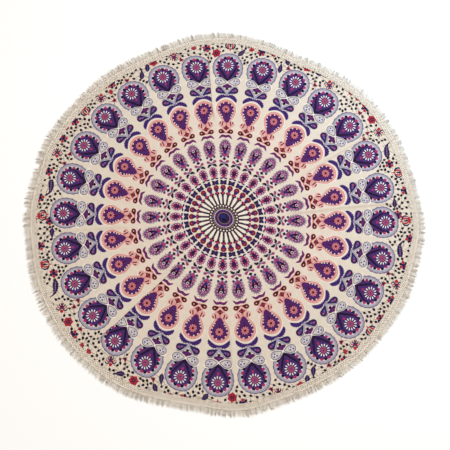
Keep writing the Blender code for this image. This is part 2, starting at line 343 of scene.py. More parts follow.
def smoothed(points, corners=(), step=4.0, closed=True):
    """A curve through given points, sharp only at the corners that are listed."""
    points = np.asarray(points, float)
    count = len(points)
    before = np.roll(points, 1, axis=0)
    after = np.roll(points, -1, axis=0)
    pull = 0.5 * (after - before)
    if not closed:
        pull[0] = points[1] - points[0]
        pull[-1] = points[-1] - points[-2]
    pull[list(corners)] = 0.0
    curve = []
    for i in range(count if closed else count - 1):
        j = (i + 1) % count
        pieces = max(1, round(math.dist(points[i], points[j]) / step))
        t = np.arange(pieces)[:, None] / pieces
        start_weight = 2.0 * t**3 - 3.0 * t**2 + 1.0
        curve.append(start_weight * points[i] + (t**3 - 2.0 * t**2 + t) * pull[i]
                     + (1.0 - start_weight) * points[j] + (t**3 - t**2) * pull[j])
    if not closed:
        curve.append(points[-1:])
    return np.vstack(curve)


def stroke(points, widths, step=4.0):
    """A brush stroke along given points, as wide along its length as `widths` says."""
    line = smoothed(points, step=step, closed=False)
    knots = np.linspace(0.0, 1.0, len(widths))
    half = 0.5 * np.interp(np.linspace(0.0, 1.0, len(line)), knots, widths)
    along = np.gradient(line, axis=0)
    along /= np.maximum(np.linalg.norm(along, axis=1), 1e-9)[:, None]
    across = np.stack([along[:, 1], -along[:, 0]], axis=1) * half[:, None]
    return np.vstack([line + across, (line - across)[::-1]])


def dash(start, end, start_width, end_width):
    """A straight tapered dash."""
    start, end = np.asarray(start, float), np.asarray(end, float)
    along = (end - start) / math.dist(start, end)
    across = 0.5 * np.array([along[1], -along[0]])
    return np.stack([start - across * start_width, start + across * start_width,
                     end + across * end_width, end - across * end_width])


def mirrored(outline):
    """The same outline on the other side of its ray."""
    return np.asarray(outline, float) * (-1.0, 1.0)


def both_sides(right_half):
    """A closed outline from its right half, whose first and last points lie on the ray."""
    right_half = np.asarray(right_half, float)
    return np.vstack([right_half, mirrored(right_half[1:-1])[::-1]])


class Drawing:
    """Shapes painted one over another, each an outline of (side, out) in millimetres."""

    def __init__(self):
        """Nothing painted yet."""
        self.shapes = []

    def paint(self, dye, *outlines):
        """One dye laid over all that was painted before."""
        for outline in outlines:
            self.shapes.append((dye, np.asarray(outline, float)))

    def pair(self, dye, *outlines):
        """Each outline with its mirror image across the ray."""
        for outline in outlines:
            self.paint(dye, outline, mirrored(outline))

    def ring_of(self, dye, centre, radius, count, shape, start=0.0):
        """`count` copies of a small shape drawn about (0, 0), turned round a centre."""
        for i in range(count):
            angle = math.radians(start + 360.0 * i / count)
            c, n = math.cos(angle), math.sin(angle)
            side, out = shape[:, 0], shape[:, 1] + radius
            self.paint(dye, np.stack([centre[0] + side * c + out * n,
                                      centre[1] - side * n + out * c], axis=1))

    def placed(self, bearing, out=0.0, turn=0.0, size=1.0):
        """The shapes moved to a distance out along a bearing, as outlines of (east, north)."""
        c, n = size * math.cos(math.radians(turn)), size * math.sin(math.radians(turn))
        sin_b, cos_b = math.sin(math.radians(bearing)), math.cos(math.radians(bearing))
        moved = []
        for dye, outline in self.shapes:
            side = outline[:, 0] * c + outline[:, 1] * n
            away = out - outline[:, 0] * n + outline[:, 1] * c
            moved.append((dye, np.stack([away * sin_b + side * cos_b,
                                         away * cos_b - side * sin_b], axis=1)))
        return moved


# ---------------------------------------------------------------- motifs of one ray

RAYS = 28
RAY_PHASE = -0.33
RAY_STEP = 360.0 / RAYS

ROUNDEL_OUT = 724.0
ROUNDEL_RADIUS = 68.5
ROUNDEL_FLOWER_OUT = 734.0
# Outline of the roundel's right half, as shares of its radius from its middle
ROUNDEL_EDGE = ((0.0, 1.0), (0.36, 0.95), (0.70, 0.74), (0.94, 0.38), (1.02, -0.02), (0.97, -0.40),
                (0.80, -0.74))
# Dyes of the roundel's rim, each painted over the one before, and how far in it starts
ROUNDEL_RIM = (("dusk", 0.8), ("pearl", 3.2), ("lavender_grey", 4.8), ("pearl", 7.8),
               ("lavender_grey", 9.8), ("pearl", 12.0))
# Beads of the right half as (side, out)
RED_BEADS = ((0.0, 773.6), (32.0, 762.0), (50.0, 729.0), (46.0, 694.0))
BLACK_BEADS = ((16.0, 771.0), (45.0, 746.5), (50.5, 711.0), (37.0, 677.5))


def roundel_band(inset):
    """The roundel's own outline, drawn in by `inset`."""
    radius = ROUNDEL_RADIUS - inset
    right = smoothed([(side * radius, ROUNDEL_OUT + out * radius) for side, out in ROUNDEL_EDGE],
                     step=11.0, closed=False)
    return both_sides(np.vstack([right, [(0.0, ROUNDEL_OUT - 0.74 * radius)]]))


def draw_roundel(ray):
    """The large purple roundel: combed rim, teardrop, beads, dark lines and white flower."""
    comb = roundel_band(-1.0)
    away = comb - (0.0, ROUNDEL_OUT)
    ray.paint("lavender_grey", comb + away * np.where(np.arange(len(comb)) % 2, 0.035, 0.0)[:, None])
    for dye, inset in ROUNDEL_RIM:
        ray.paint(dye, roundel_band(inset))
    teardrop = smoothed([(0.0, 771.5), (18.5, 770.0), (38.0, 754.5), (48.0, 731.5),
                         (47.0, 705.5), (36.5, 680.0), (18.5, 665.5), (0.0, 653.0)], step=11.0, closed=False)
    ray.paint("violet", both_sides(teardrop))
    for dye, beads in (("black", BLACK_BEADS), ("crimson", RED_BEADS)):
        for side, out in beads:
            turn = math.degrees(math.atan2(side, out - ROUNDEL_OUT))
            ray.pair(dye, oval(side, out, 9.4 if side == 0.0 else 7.9, 6.1, turn))
    ray.pair("berry", stroke([(37.0, 742.0), (42.0, 727.0), (28.0, 701.0), (14.0, 679.0), (2.0, 659.0)],
                             (2.0, 7.0, 10.0, 11.0, 6.0), step=14.0))
    ray.paint("berry", [(-9.0, 671.0), (9.0, 671.0), (0.0, 653.5)])
    flower = (0.0, ROUNDEL_FLOWER_OUT)
    ray.paint("navy", oval(*flower, 17.6, 17.6))
    petal = np.array([(-1.2, -5.6), (-2.8, 3.0), (0.0, 7.8), (2.8, 3.0), (1.2, -5.6)])
    ray.ring_of("white", flower, 22.0, 13, petal, 7.0)
    ray.paint("rose_plum", oval(*flower, 14.8, 14.8))
    ray.paint("plum", oval(*flower, 9.0, 9.0))
    ray.paint("mauve", oval(*flower, 6.6, 6.6))
    ray.paint("navy", oval(*flower, 4.0, 4.0))
    ray.paint("crimson", drop((0.0, 695.0), 5.4, (0.0, 708.0)))


def draw_curls(ray):
    """The two pale curls that hold the roundel, each with three dots."""
    skirt = smoothed([(0.0, 650.0), (14.0, 662.0), (27.0, 671.0), (42.0, 675.0), (56.0, 673.0),
                      (66.0, 662.0), (62.0, 650.0), (54.0, 644.0), (0.0, 644.0)], corners=(0, 8), step=12.0)
    curl = smoothed([(1.0, 647.0), (13.0, 659.5), (27.0, 669.5), (42.0, 672.5), (55.0, 666.5),
                     (60.5, 652.5), (54.0, 638.5), (41.0, 632.5), (27.0, 634.0), (14.0, 641.0)],
                    corners=(0,), step=12.0)
    hollow = smoothed([(7.0, 648.5), (27.0, 665.2), (41.0, 668.2), (51.8, 663.0),
                       (56.2, 652.5), (51.4, 641.8), (41.0, 636.8), (27.0, 638.3)],
                      corners=(0,), step=12.0)
    ray.pair("cream", skirt)
    ray.pair("lavender_grey", curl)
    ray.pair("dove", hollow)
    eye = (38.5, 652.0)
    ray.pair("lavender_grey", toothed(*eye, 14.6, 13.8, 9, 0.20))
    ray.pair("pearl", oval(*eye, 11.4, 10.8))
    for side, out in ((-6.2, 3.6), (6.2, 3.8), (0.4, -6.0)):
        ray.pair("deep_purple", oval(eye[0] + side, eye[1] + out, 3.9, 3.6))
    ray.paint("white", oval(0.0, 647.0, 5.6, 3.4))


def draw_star_and_drops(ray):
    """The purple star, the black diamond and the two navy drops on their V of stems."""
    stem = [(0.0, 580.0), (1.0, 592.0), (9.0, 607.0), (21.0, 622.0)]
    ray.pair("lavender_grey", stroke(stem, (6.0, 9.0, 8.0, 4.4), step=16.0))
    ray.pair("lavender", stroke(stem, (3.0, 6.0, 5.0, 2.0), step=16.0))
    ray.pair("dusk", stroke([(18.0, 621.0), (32.0, 628.0), (50.0, 626.5)], (3.0, 3.4, 2.0), step=16.0))
    star = [(0.0, 644.5), (7.5, 638.0), (15.0, 635.5), (24.0, 629.0), (16.5, 622.0), (9.0, 620.5),
            (0.0, 619.0)]
    ray.paint("purple", both_sides(star))
    ray.paint("plum", oval(0.0, 630.0, 4.4, 2.8))
    ray.paint("black", [(0.0, 622.5), (9.4, 615.5), (0.0, 608.0), (-9.4, 615.5)])
    belly = (37.2, 609.0)
    ray.pair("lavender", drop(belly, 17.2, (2.0, 589.5)))
    ray.pair("navy", drop(belly, 15.8, (4.0, 591.5)))
    ray.pair("indigo", drop(belly, 9.0, (14.0, 598.0)))
    ray.pair("periwinkle", oval(28.0, 605.4, 6.0, 3.8, -18.0))
    ray.pair("rose_plum", oval(39.4, 609.8, 6.4, 5.0))


def draw_indigo_leaves(ray):
    """The serrated pair of indigo leaves over the salmon drop."""
    upper = smoothed([(0.0, 580.5), (9.0, 584.0), (19.0, 587.0), (31.0, 584.0), (42.5, 574.5),
                      (49.0, 562.0), (47.0, 548.0)], step=5.4, closed=False)
    lower = smoothed([(47.0, 548.0), (38.0, 555.0), (27.0, 564.5), (15.0, 571.5), (0.0, 574.0)],
                     step=14.0, closed=False)
    away = upper - (14.0, 552.0)
    away /= np.linalg.norm(away, axis=1)[:, None]
    tooth = np.where(np.arange(len(upper)) % 2 == 1, 2.2, -1.0)
    tooth[[0, -1]] = 0.0
    ray.pair("indigo", np.vstack([upper + away * tooth[:, None], lower[1:]]))
    for side, out, turn in ((10.0, 581.0, 76.0), (22.0, 578.4, 100.0), (33.0, 570.8, 126.0),
                            (41.8, 560.0, 150.0)):
        reach = 5.0 * np.array([math.sin(math.radians(turn)), math.cos(math.radians(turn))])
        ray.pair("black", dash((side, out) - reach, (side, out) + reach, 1.2, 3.4))
    ray.pair("lavender_grey", stroke([(0.0, 584.0), (9.0, 589.5), (22.0, 592.5), (34.0, 589.0)],
                                     (3.0, 3.4, 3.0, 1.2), step=14.0))


SALMON_OUT = 517.0
SALMON_TIP_OUT = 447.0
SALMON_COMB_STROKES = 26
NOTCH_DOT_OUT = 1.8
# Notches round the purple heart: clockwise angle from the ray, distance from its middle,
# and how far the lobe after it stands out
Notch = namedtuple("Notch", "angle reach lobe_reach")
NOTCHES = [Notch(*row) for row in (
    (22.0, 29.5, 36.0),
    (56.0, 30.5, 37.5),
    (88.0, 32.0, 39.0),
    (116.0, 32.0, 39.0),
    (136.0, 34.0, 42.0),
    (151.0, 40.0, 48.0),
)]


def draw_salmon_drop(ray):
    """The salmon drop: combed rim, toothed purple heart with pale dots, and its flower."""
    middle = (0.0, SALMON_OUT)
    halo = drop(middle, 50.6, (0.0, 424.0))
    ray.paint("halo", halo[halo[:, 1] > 500.0])
    ray.paint("salmon", drop(middle, 47.0, (0.0, 430.0)))
    ray.paint("blush", drop(middle, 44.4, (0.0, 434.0)))
    ray.paint("salmon", drop(middle, 38.6, (0.0, 438.0)))
    for i in range(SALMON_COMB_STROKES):
        angle = math.radians(-150.0 + 300.0 * i / (SALMON_COMB_STROKES - 1))
        away = np.array([math.sin(angle), math.cos(angle)])
        stretch = 1.0 + 0.25 * max(0.0, abs(math.degrees(angle)) - 110.0) / 40.0
        ray.paint("salmon", dash(middle + away * 38.0 * stretch, middle + away * 44.0 * stretch, 3.0, 1.2))
    right = [(0.0, SALMON_OUT + 33.0), (4.5, SALMON_OUT + 36.5)]
    for notch, after in zip(NOTCHES, NOTCHES[1:] + [Notch(164.0, 53.0, 0.0)]):
        lobe = 0.5 * (notch.angle + after.angle)
        spread = 0.17 * (after.angle - notch.angle)
        for angle, reach in ((notch.angle, notch.reach - 1.0), (lobe - spread, notch.lobe_reach),
                             (lobe + spread, notch.lobe_reach)):
            right.append((reach * math.sin(math.radians(angle)),
                          SALMON_OUT + reach * math.cos(math.radians(angle))))
    ray.paint("purple", both_sides(right + [(0.0, SALMON_TIP_OUT)]))
    ray.pair("violet", dash((4.0, 466.0), (13.0, 492.0), 4.4, 7.0), oval(25.0, 510.0, 4.4, 9.0, 14.0))
    ray.pair("deep_purple", oval(14.0, 541.5, 4.4, 3.0, 20.0), oval(24.0, 494.0, 3.6, 4.8, 20.0))
    ray.paint("maroon", dash((0.0, 503.0), (0.0, 482.0), 6.0, 2.4))
    for notch in NOTCHES:
        side = (notch.reach + NOTCH_DOT_OUT) * math.sin(math.radians(notch.angle))
        out = SALMON_OUT + (notch.reach + NOTCH_DOT_OUT) * math.cos(math.radians(notch.angle))
        ray.pair("halo", oval(side, out, 3.0, 3.0))
    ray.paint("plum", oval(*middle, 15.6, 15.6))
    petal = np.array([(-1.2, -6.0), (-3.4, 2.2), (-1.6, 6.8), (1.6, 6.8), (3.4, 2.2), (1.2, -6.0)])
    ray.ring_of("dusty_rose", middle, 10.8, 10, petal, 15.0)
    ray.paint("brick", toothed(*middle, 6.4, 6.4, 6, 0.3))
    ray.paint("maroon", oval(*middle, 5.4, 5.4))


def draw_salmon_knot(ray):
    """Below the salmon drop: pink curls, the brick cross and the two maroon drops."""
    ray.pair("salmon", oval(21.5, 446.0, 15.4, 14.6))
    ray.pair("blush", oval(21.5, 446.0, 13.6, 12.8))
    ray.pair("brick", dash((27.0, 458.0), (31.5, 446.5), 4.4, 5.4),
             dash((16.5, 458.0), (21.5, 438.5), 5.4, 6.4))
    lattice = [(0.0, 455.0), (10.0, 443.5), (20.0, 428.0), (11.0, 415.0), (0.0, 401.0)]
    ray.pair("salmon", stroke(lattice, (6.0, 6.0, 6.0), step=16.0))
    ray.pair("blush", stroke(lattice, (3.4, 3.4, 3.4), step=16.0))
    ray.paint("purple", [(-14.0, 463.5), (14.0, 463.5), (0.0, 450.5)])
    ray.paint("brick", [(0.0, 442.0), (16.0, 427.5), (0.0, 413.5), (-16.0, 427.5)])
    ray.pair("dusty_rose", oval(6.0, 427.5, 2.2, 1.6))
    belly = (23.4, 410.0)
    ray.pair("salmon", drop(belly, 12.8, (0.0, 402.0)))
    ray.pair("maroon", drop(belly, 10.8, (1.5, 403.0)))
    ray.pair("blush", oval(24.0, 410.4, 4.2, 3.0, -14.0))
    ray.paint("salmon", [(-8.0, 404.5), (0.0, 408.0), (8.0, 404.5), (4.0, 399.0), (-4.0, 399.0)])


def draw_wave(ray):
    """The purple wave over the feather."""
    ray.pair("wine", smoothed([(0.0, 391.5), (8.0, 393.5), (15.0, 394.5), (22.0, 391.0), (27.5, 383.0),
                               (32.5, 371.5), (24.0, 375.0), (17.0, 381.0), (9.0, 380.5),
                               (0.0, 377.5)], corners=(0, 5, 9), step=8.0))


FEATHER_OUT = 325.0
FEATHER_STROKES = 32


def draw_feather(ray):
    """The feather: a comb of short strokes, plum dots, black heart, pale ring and blue foot."""
    ray.paint("heather", drop((0.0, FEATHER_OUT + 8.0), 27.0, (0.0, 262.0)))
    for i in range(FEATHER_STROKES):
        angle = math.radians(-160.0 + 320.0 * i / (FEATHER_STROKES - 1))
        away = np.array([math.sin(angle), math.cos(angle)])
        reach = 0.95 + 0.10 * (i % 2)
        start = away * (16.0, 28.0) + (0.0, FEATHER_OUT)
        end = away * (29.5 * reach, 46.5 * reach) + (0.0, FEATHER_OUT)
        ray.paint(("dark_heather", "heather")[i % 2], dash(start, end, 5.0, 3.4))
    ray.paint("mauve", oval(0.0, FEATHER_OUT - 1.0, 20.0, 33.0))
    ray.pair("lavender", *(oval(side, out, 2.6, 2.9) for side, out in (
        (4.6, 353.0), (12.4, 345.0), (16.6, 331.0), (16.8, 316.0), (13.0, 302.5))))
    ray.pair("plum", *(oval(side, out, 4.0, 4.4) for side, out in (
        (8.8, 350.5), (15.6, 338.5), (17.6, 323.6), (15.6, 309.0), (9.6, 297.0))))
    ray.paint("plum", oval(0.0, 355.5, 3.8, 4.6))
    ray.paint("black", drop((0.0, 330.0), 14.4, (0.0, 285.0)))
    ray.paint("pearl", oval(0.0, 336.0, 6.8, 8.0))
    ray.paint("mauve", oval(0.0, 336.0, 4.8, 5.8))
    ray.paint("deep_purple", oval(0.0, 336.0, 2.4, 3.2))
    ray.paint("rose_plum", oval(0.0, 320.0, 3.8, 5.0))
    ray.paint("blue", [(-7.4, 315.5), (7.4, 315.5), (5.0, 297.0), (-5.0, 297.0)])
    ray.paint("crimson", [(-6.0, 297.5), (6.0, 297.5), (4.8, 290.0), (0.0, 277.0), (-4.8, 290.0)])


def draw_small_knot(ray):
    """Between the feather and the bud: navy dots, black diamond, mauve petals, black brackets."""
    ray.pair("pearl", oval(8.6, 280.0, 5.0, 4.8))
    ray.pair("grape", oval(16.6, 284.0, 5.8, 6.4))
    ray.paint("black", [(-10.5, 272.0), (0.0, 279.0), (10.5, 272.0), (0.0, 265.0)])
    ray.pair("lavender", drop((15.8, 261.4), 7.8, (0.0, 251.0)))
    ray.pair("rose_plum", drop((16.0, 261.8), 6.4, (0.0, 253.0)))
    ray.pair("plum", dash((5.0, 256.0), (18.0, 262.8), 1.6, 3.4))
    ray.pair("lavender_grey", stroke([(0.0, 258.0), (4.0, 247.0), (10.0, 241.5), (18.0, 233.0)],
                                     (10.0, 7.0, 5.0, 3.0), step=16.0))
    ray.pair("black", smoothed([(1.6, 241.0), (6.0, 249.5), (12.4, 252.0), (18.8, 247.5), (23.4, 234.5),
                                (16.5, 236.5), (12.0, 240.5), (8.0, 241.0)],
                               corners=(0, 4), step=10.0))


def draw_bud(ray):
    """The small crimson bud with its dark heart and white dots."""
    ray.paint("heather", toothed(0.0, 209.5, 20.4, 28.4, 14, 0.16))
    ray.paint("mauve", oval(0.0, 209.5, 16.2, 23.0))
    ray.paint("plum", oval(0.0, 209.5, 14.2, 21.0))
    for side, out in ((4.0, 227.5), (10.4, 220.0), (12.6, 208.5), (9.6, 197.0)):
        ray.pair("pearl", oval(side, out, 2.3, 2.4))
    ray.paint("umber", drop((0.0, 212.0), 9.0, (0.0, 184.0)))
    ray.paint("plum", oval(0.0, 217.0, 3.4, 3.4))
    ray.paint("navy", oval(0.0, 202.5, 6.0, 7.4))
    ray.paint("crimson", oval(0.0, 230.0, 4.4, 3.8))
    ray.paint("crimson", drop((0.0, 188.0), 6.2, (0.0, 178.0)))


def draw_inner_ring(ray):
    """Nearest the centre: navy dashes and blocks, the round brick and navy flower, its stem."""
    ray.pair("blue", oval(9.6, 180.0, 7.8, 4.2, 10.0))
    ray.paint("navy", smoothed([(0.0, 168.0), (8.0, 172.5), (15.6, 172.0), (13.6, 162.5), (15.2, 152.0),
                                (8.0, 150.0), (0.0, 153.0), (-8.0, 150.0), (-15.2, 152.0), (-13.6, 162.5),
                                (-15.6, 172.0), (-8.0, 172.5)], corners=(0, 6), step=14.0))
    ray.paint("violet", oval(0.0, 160.5, 6.4, 3.6))
    ray.paint("brick", toothed(0.0, 137.0, 13.0, 14.0, 8, 0.10))
    ray.paint("rose_plum", oval(0.0, 140.0, 3.6, 3.0))
    ray.paint("grape", drop((0.0, 127.5), 8.2, (0.0, 113.0)))
    ray.paint("black", oval(0.0, 111.8, 11.4, 6.8))
    ray.paint("crimson", oval(0.0, 113.2, 7.4, 4.8))
    ray.paint("umber", [(-5.2, 105.5), (5.2, 105.5), (5.2, 97.0), (4.4, 82.0), (4.0, 62.0),
                        (-4.0, 62.0), (-4.4, 82.0), (-5.2, 97.0)])
    ray.paint("dusk", dash((0.0, 102.0), (0.0, 80.0), 2.4, 1.4))


def drawn_ray():
    """One of the printed rays, about the bearing that it lies on."""
    ray = Drawing()
    for draw in (draw_roundel, draw_curls, draw_star_and_drops, draw_indigo_leaves, draw_salmon_drop,
                 draw_salmon_knot, draw_wave, draw_feather, draw_small_knot, draw_bud, draw_inner_ring):
        draw(ray)
    return ray


def drawn_centre():
    """The rings in the middle of the print, painted from the outermost inwards."""
    centre = Drawing()
    middle = (0.0, 0.0)
    between_rays = RAY_PHASE + 0.5 * RAY_STEP
    petal = smoothed([(0.0, -20.0), (3.6, -16.0), (4.6, -4.0), (6.6, 10.0), (5.6, 17.0), (0.0, 20.0),
                      (-5.6, 17.0), (-6.6, 10.0), (-4.6, -4.0), (-3.6, -16.0)], step=14.0)
    centre.ring_of("cream", middle, 85.0, RAYS, petal, between_rays)
    centre.ring_of("umber", middle, 63.4, RAYS, oval(*middle, 7.6, 4.6), RAY_PHASE)
    centre.paint("umber", oval(*middle, 65.0, 65.0))
    centre.ring_of("cream", middle, 58.6, RAYS, oval(*middle, 3.8, 3.6), RAY_PHASE)
    centre.paint("maroon", oval(*middle, 54.4, 54.4))
    centre.ring_of("gold", middle, 49.0, RAYS // 2, oval(*middle, 5.0, 5.0), RAY_PHASE)
    centre.ring_of("lavender_grey", middle, 47.6, RAYS // 2, oval(*middle, 4.2, 4.6), RAY_PHASE + RAY_STEP)
    centre.ring_of("black", middle, 51.0, RAYS, oval(*middle, 2.0, 2.0), between_rays)
    for dye, radius in (("pearl", 43.0), ("deep_purple", 40.6), ("purple", 37.4), ("gold", 28.4),
                        ("navy", 25.2)):
        centre.paint(dye, oval(*middle, radius, radius))
    centre.paint("blue", oval(-4.0, 9.0, 13.0, 8.6, -14.0))
    centre.paint("black", oval(3.0, -9.0, 9.0, 6.0))
    return centre


# ---------------------------------------------------------------- motifs of the vine border


def petal_shape(width, length):
    """A round-ended petal that starts at (0, 0) and points out."""
    return smoothed([(0.0, 0.0), (0.5 * width, 0.62 * length), (0.0, length), (-0.5 * width, 0.62 * length)],
                    corners=(0,), step=7.0)


def flower_motif():
    """A flower of red and navy petals by turns."""
    motif = Drawing()
    motif.ring_of("red", (0.0, 0.0), 2.0, 3, petal_shape(13.0, 16.0), 10.0)
    motif.ring_of("navy", (0.0, 0.0), 2.0, 3, petal_shape(13.0, 16.0), 70.0)
    motif.paint("navy", oval(0.0, 0.0, 6.4, 6.4))
    return motif


def rosette_motif():
    """A round flower of purple petals on red."""
    motif = Drawing()
    motif.ring_of("red", (0.0, 0.0), 5.0, 6, petal_shape(12.0, 14.5), 11.0)
    motif.ring_of("brick", (0.0, 0.0), 2.0, 6, dash((0.0, 2.0), (0.0, 13.0), 3.0, 4.6), 41.0)
    motif.paint("navy", toothed(0.0, 0.0, 9.0, 9.0, 6, 0.3))
    motif.paint("red", oval(0.0, 0.0, 3.4, 3.4))
    return motif


def bud_motif():
    """A small tulip: two red petals and a navy one."""
    motif = Drawing()
    motif.paint("red", drop((-4.6, 4.0), 4.4, (0.5, -8.0)), drop((4.6, 4.0), 4.4, (-0.5, -8.0)))
    motif.paint("navy", drop((0.0, 3.0), 3.8, (0.0, -11.0)))
    return motif


def red_sprig_motif():
    """Three red petals on a short stalk."""
    motif = Drawing()
    motif.paint("olive", stroke([(0.0, -14.0), (0.0, 0.0)], (1.6, 1.6)))
    motif.paint("red", drop((-7.0, 2.0), 4.2, (0.0, -5.0)), drop((7.0, 2.0), 4.2, (0.0, -5.0)),
                drop((0.0, 8.0), 4.6, (0.0, -3.0)))
    motif.paint("navy", oval(0.0, -3.0, 3.6, 3.0))
    return motif


def pod_motif():
    """A striped round pod with a red crest."""
    motif = Drawing()
    motif.paint("red", [(-14.0, 12.0), (-12.0, 25.0), (-5.0, 21.0), (0.0, 31.0), (5.0, 21.0), (12.0, 25.0),
                        (14.0, 12.0), (0.0, 10.0)])
    motif.pair("navy", stroke([(15.0, 13.5), (21.0, 4.0), (18.0, -8.0), (6.0, -16.0)], (4.0, 8.0, 7.0, 3.0),
                              step=9.0))
    motif.pair("red", stroke([(6.0, 11.0), (11.5, 3.0), (9.5, -8.0), (2.0, -15.0)], (4.0, 8.0, 6.0, 2.0),
                             step=9.0))
    motif.paint("navy", drop((0.0, 7.0), 4.4, (0.0, -15.0)))
    motif.paint("red", [(-5.0, -13.0), (0.0, -28.0), (5.0, -13.0)])
    return motif


def fan_motif():
    """A palmette: a red crown over navy and red arms that spread and curl down."""
    motif = Drawing()
    motif.paint("olive", stroke([(0.0, -28.0), (0.0, -8.0)], (1.6, 1.6)))
    motif.pair("navy", stroke([(1.0, -2.0), (9.0, 9.0), (18.0, 9.5), (24.0, -1.0)], (6.0, 5.4, 5.0, 1.6)))
    motif.pair("red", stroke([(2.0, -4.0), (9.0, 2.0), (16.0, 0.0), (19.0, -8.0)], (4.6, 4.6, 4.0, 1.6)))
    motif.pair("navy", stroke([(1.0, -5.0), (8.0, -6.0), (13.0, -15.0)], (5.0, 4.4, 3.2)))
    motif.pair("navy", stroke([(0.5, -6.0), (4.0, -13.0), (5.0, -19.0)], (4.6, 3.8, 3.2)))
    motif.paint("red", drop((0.0, -15.0), 2.8, (0.0, -5.0)))
    motif.paint("purple", oval(0.0, -1.0, 5.4, 7.0))
    motif.paint("red", [(0.0, 6.0), (-8.0, 12.0), (-6.0, 18.0), (0.0, 23.0), (6.0, 18.0), (8.0, 12.0)])
    return motif


def feather_leaf_motif():
    """A long toothed leaf whose stalk end curls aside."""
    motif = Drawing()
    spine = [(2.0, -34.0), (-1.0, -14.0), (-2.0, 8.0), (4.0, 26.0), (20.0, 38.0)]
    body = stroke(spine, (12.0, 23.0, 22.0, 18.0, 9.0, 5.0, 2.5), step=4.6)
    middle = smoothed(spine, step=4.6, closed=False)
    middle = np.vstack([middle, middle[::-1]])
    away = body - middle
    length = np.maximum(np.linalg.norm(away, axis=1), 1e-6)
    tooth = np.where((np.arange(len(body)) % 2 == 0) & (length > 4.0), 2.4, 0.0)
    motif.paint("deep_purple", body + away / length[:, None] * tooth[:, None])
    motif.paint("dusk", stroke([(1.5, -30.0), (-0.5, -14.0), (-1.5, 6.0), (2.0, 20.0)],
                               (2.0, 3.6, 3.0, 0.6)))
    for out in (-24.0, -15.0, -6.0, 3.0, 12.0):
        motif.paint("lavender", oval(-0.8, out, 1.5, 2.1))
    return motif


def leaf_motif():
    """A short pointed leaf with a pale rib."""
    motif = Drawing()
    motif.paint("deep_purple", smoothed([(0.0, -22.0), (9.0, -12.0), (10.5, 2.0), (3.0, 20.0), (-1.0, 27.0),
                                         (-5.0, 12.0), (-10.0, -2.0), (-8.0, -14.0)], corners=(0, 4)))
    motif.paint("dusk", stroke([(0.0, -18.0), (1.0, -2.0), (0.0, 18.0)], (1.6, 3.0, 0.6)))
    return motif


# The vine as the print repeats it after half a turn. `along` is in degrees from the first
# gap between rays, `out` in millimetres from the print's centre, and `turn` clockwise.
Bloom = namedtuple("Bloom", "motif along out turn")
BLOOMS = [Bloom(*row) for row in (
    ("rosette", 1.9, 796.0, 0.0),
    ("pod", 6.5, 832.0, 0.0),
    ("leaf", 10.5, 802.0, 35.0),
    ("red_sprig", 13.7, 821.0, -20.0),
    ("flower", 17.0, 819.0, 0.0),
    ("red_sprig", 20.9, 820.0, 30.0),
    ("leaf", 26.2, 815.0, -40.0),
    ("leaf", 25.1, 768.0, -10.0),
    ("bud", 27.6, 781.0, 40.0),
    ("rosette", 33.2, 826.0, 0.0),
    ("leaf", 37.8, 832.0, 60.0),
    ("bud", 38.6, 767.0, 20.0),
    ("fan", 42.5, 810.0, -36.0),
    ("red_sprig", 49.4, 843.0, 10.0),
    ("red_sprig", 52.0, 849.0, 50.0),
    ("flower", 56.2, 848.0, 20.0),
    ("bud", 56.4, 809.0, -30.0),
    ("rosette", 60.4, 836.0, 22.0),
    ("fan", 65.2, 829.0, -58.0),
    ("bud", 63.5, 780.0, 60.0),
    ("bud", 65.0, 750.0, -20.0),
    ("feather_leaf", 71.5, 822.0, -66.0),
    ("flower", 76.2, 807.0, 35.0),
    ("pod", 79.6, 832.0, 12.0),
    ("flower", 85.6, 841.0, 5.0),
    ("leaf", 89.5, 783.0, -85.0),
    ("flower", 93.4, 793.0, 20.0),
    ("pod", 95.3, 826.0, -12.0),
    ("flower", 100.8, 847.0, 30.0),
    ("feather_leaf", 104.6, 808.0, -98.0),
    ("flower", 109.4, 836.0, 0.0),
    ("bud", 113.6, 778.0, -60.0),
    ("fan", 116.0, 830.0, -109.0),
    ("bud", 117.2, 771.0, 20.0),
    ("flower", 120.9, 835.0, 10.0),
    ("red_sprig", 124.2, 845.0, 40.0),
    ("flower", 127.6, 831.0, 25.0),
    ("pod", 132.4, 822.0, 8.0),
    ("fan", 138.9, 810.0, 48.0),
    ("bud", 141.6, 758.0, -20.0),
    ("red_sprig", 143.0, 800.0, -70.0),
    ("flower", 144.6, 828.0, 15.0),
    ("bud", 149.4, 800.0, 30.0),
    ("leaf", 154.6, 787.0, 30.0),
    ("leaf", 157.6, 808.0, 25.0),
    ("rosette", 160.2, 821.0, 0.0),
    ("fan", 167.4, 811.0, 0.0),
    ("bud", 169.2, 786.0, 50.0),
    ("red_sprig", 174.4, 829.0, 0.0),
    ("flower", 178.6, 824.0, 40.0),
)]
# Radius that each kind keeps free of berries, in millimetres, and how much larger it is printed
BLOOM_REACH = {"flower": 20.0, "rosette": 20.0, "bud": 12.0, "red_sprig": 14.0, "pod": 25.0, "fan": 27.0,
               "feather_leaf": 30.0, "leaf": 18.0}
BLOOM_SIZE = {"flower": 1.24, "rosette": 1.22, "bud": 1.25, "red_sprig": 1.25, "pod": 1.08, "fan": 1.12,
              "feather_leaf": 1.06, "leaf": 1.08}
VINE_START = RAY_PHASE - 0.5 * RAY_STEP
VINE_HALVES = (0.0, 180.0)

# Berries fill what the blooms and roundels leave free
BERRY_SEED = 11
BERRY_TRIES = 7000
BERRY_SPACING = 14.8
BERRY_INNER_OUT = 742.0
BERRY_OUTER_OUT = 866.0
BERRY_LEAST = 5.6
BERRY_LARGEST = 6.8
BERRY_TURN = 70.0
ROUNDEL_CLEARANCE = 11.0

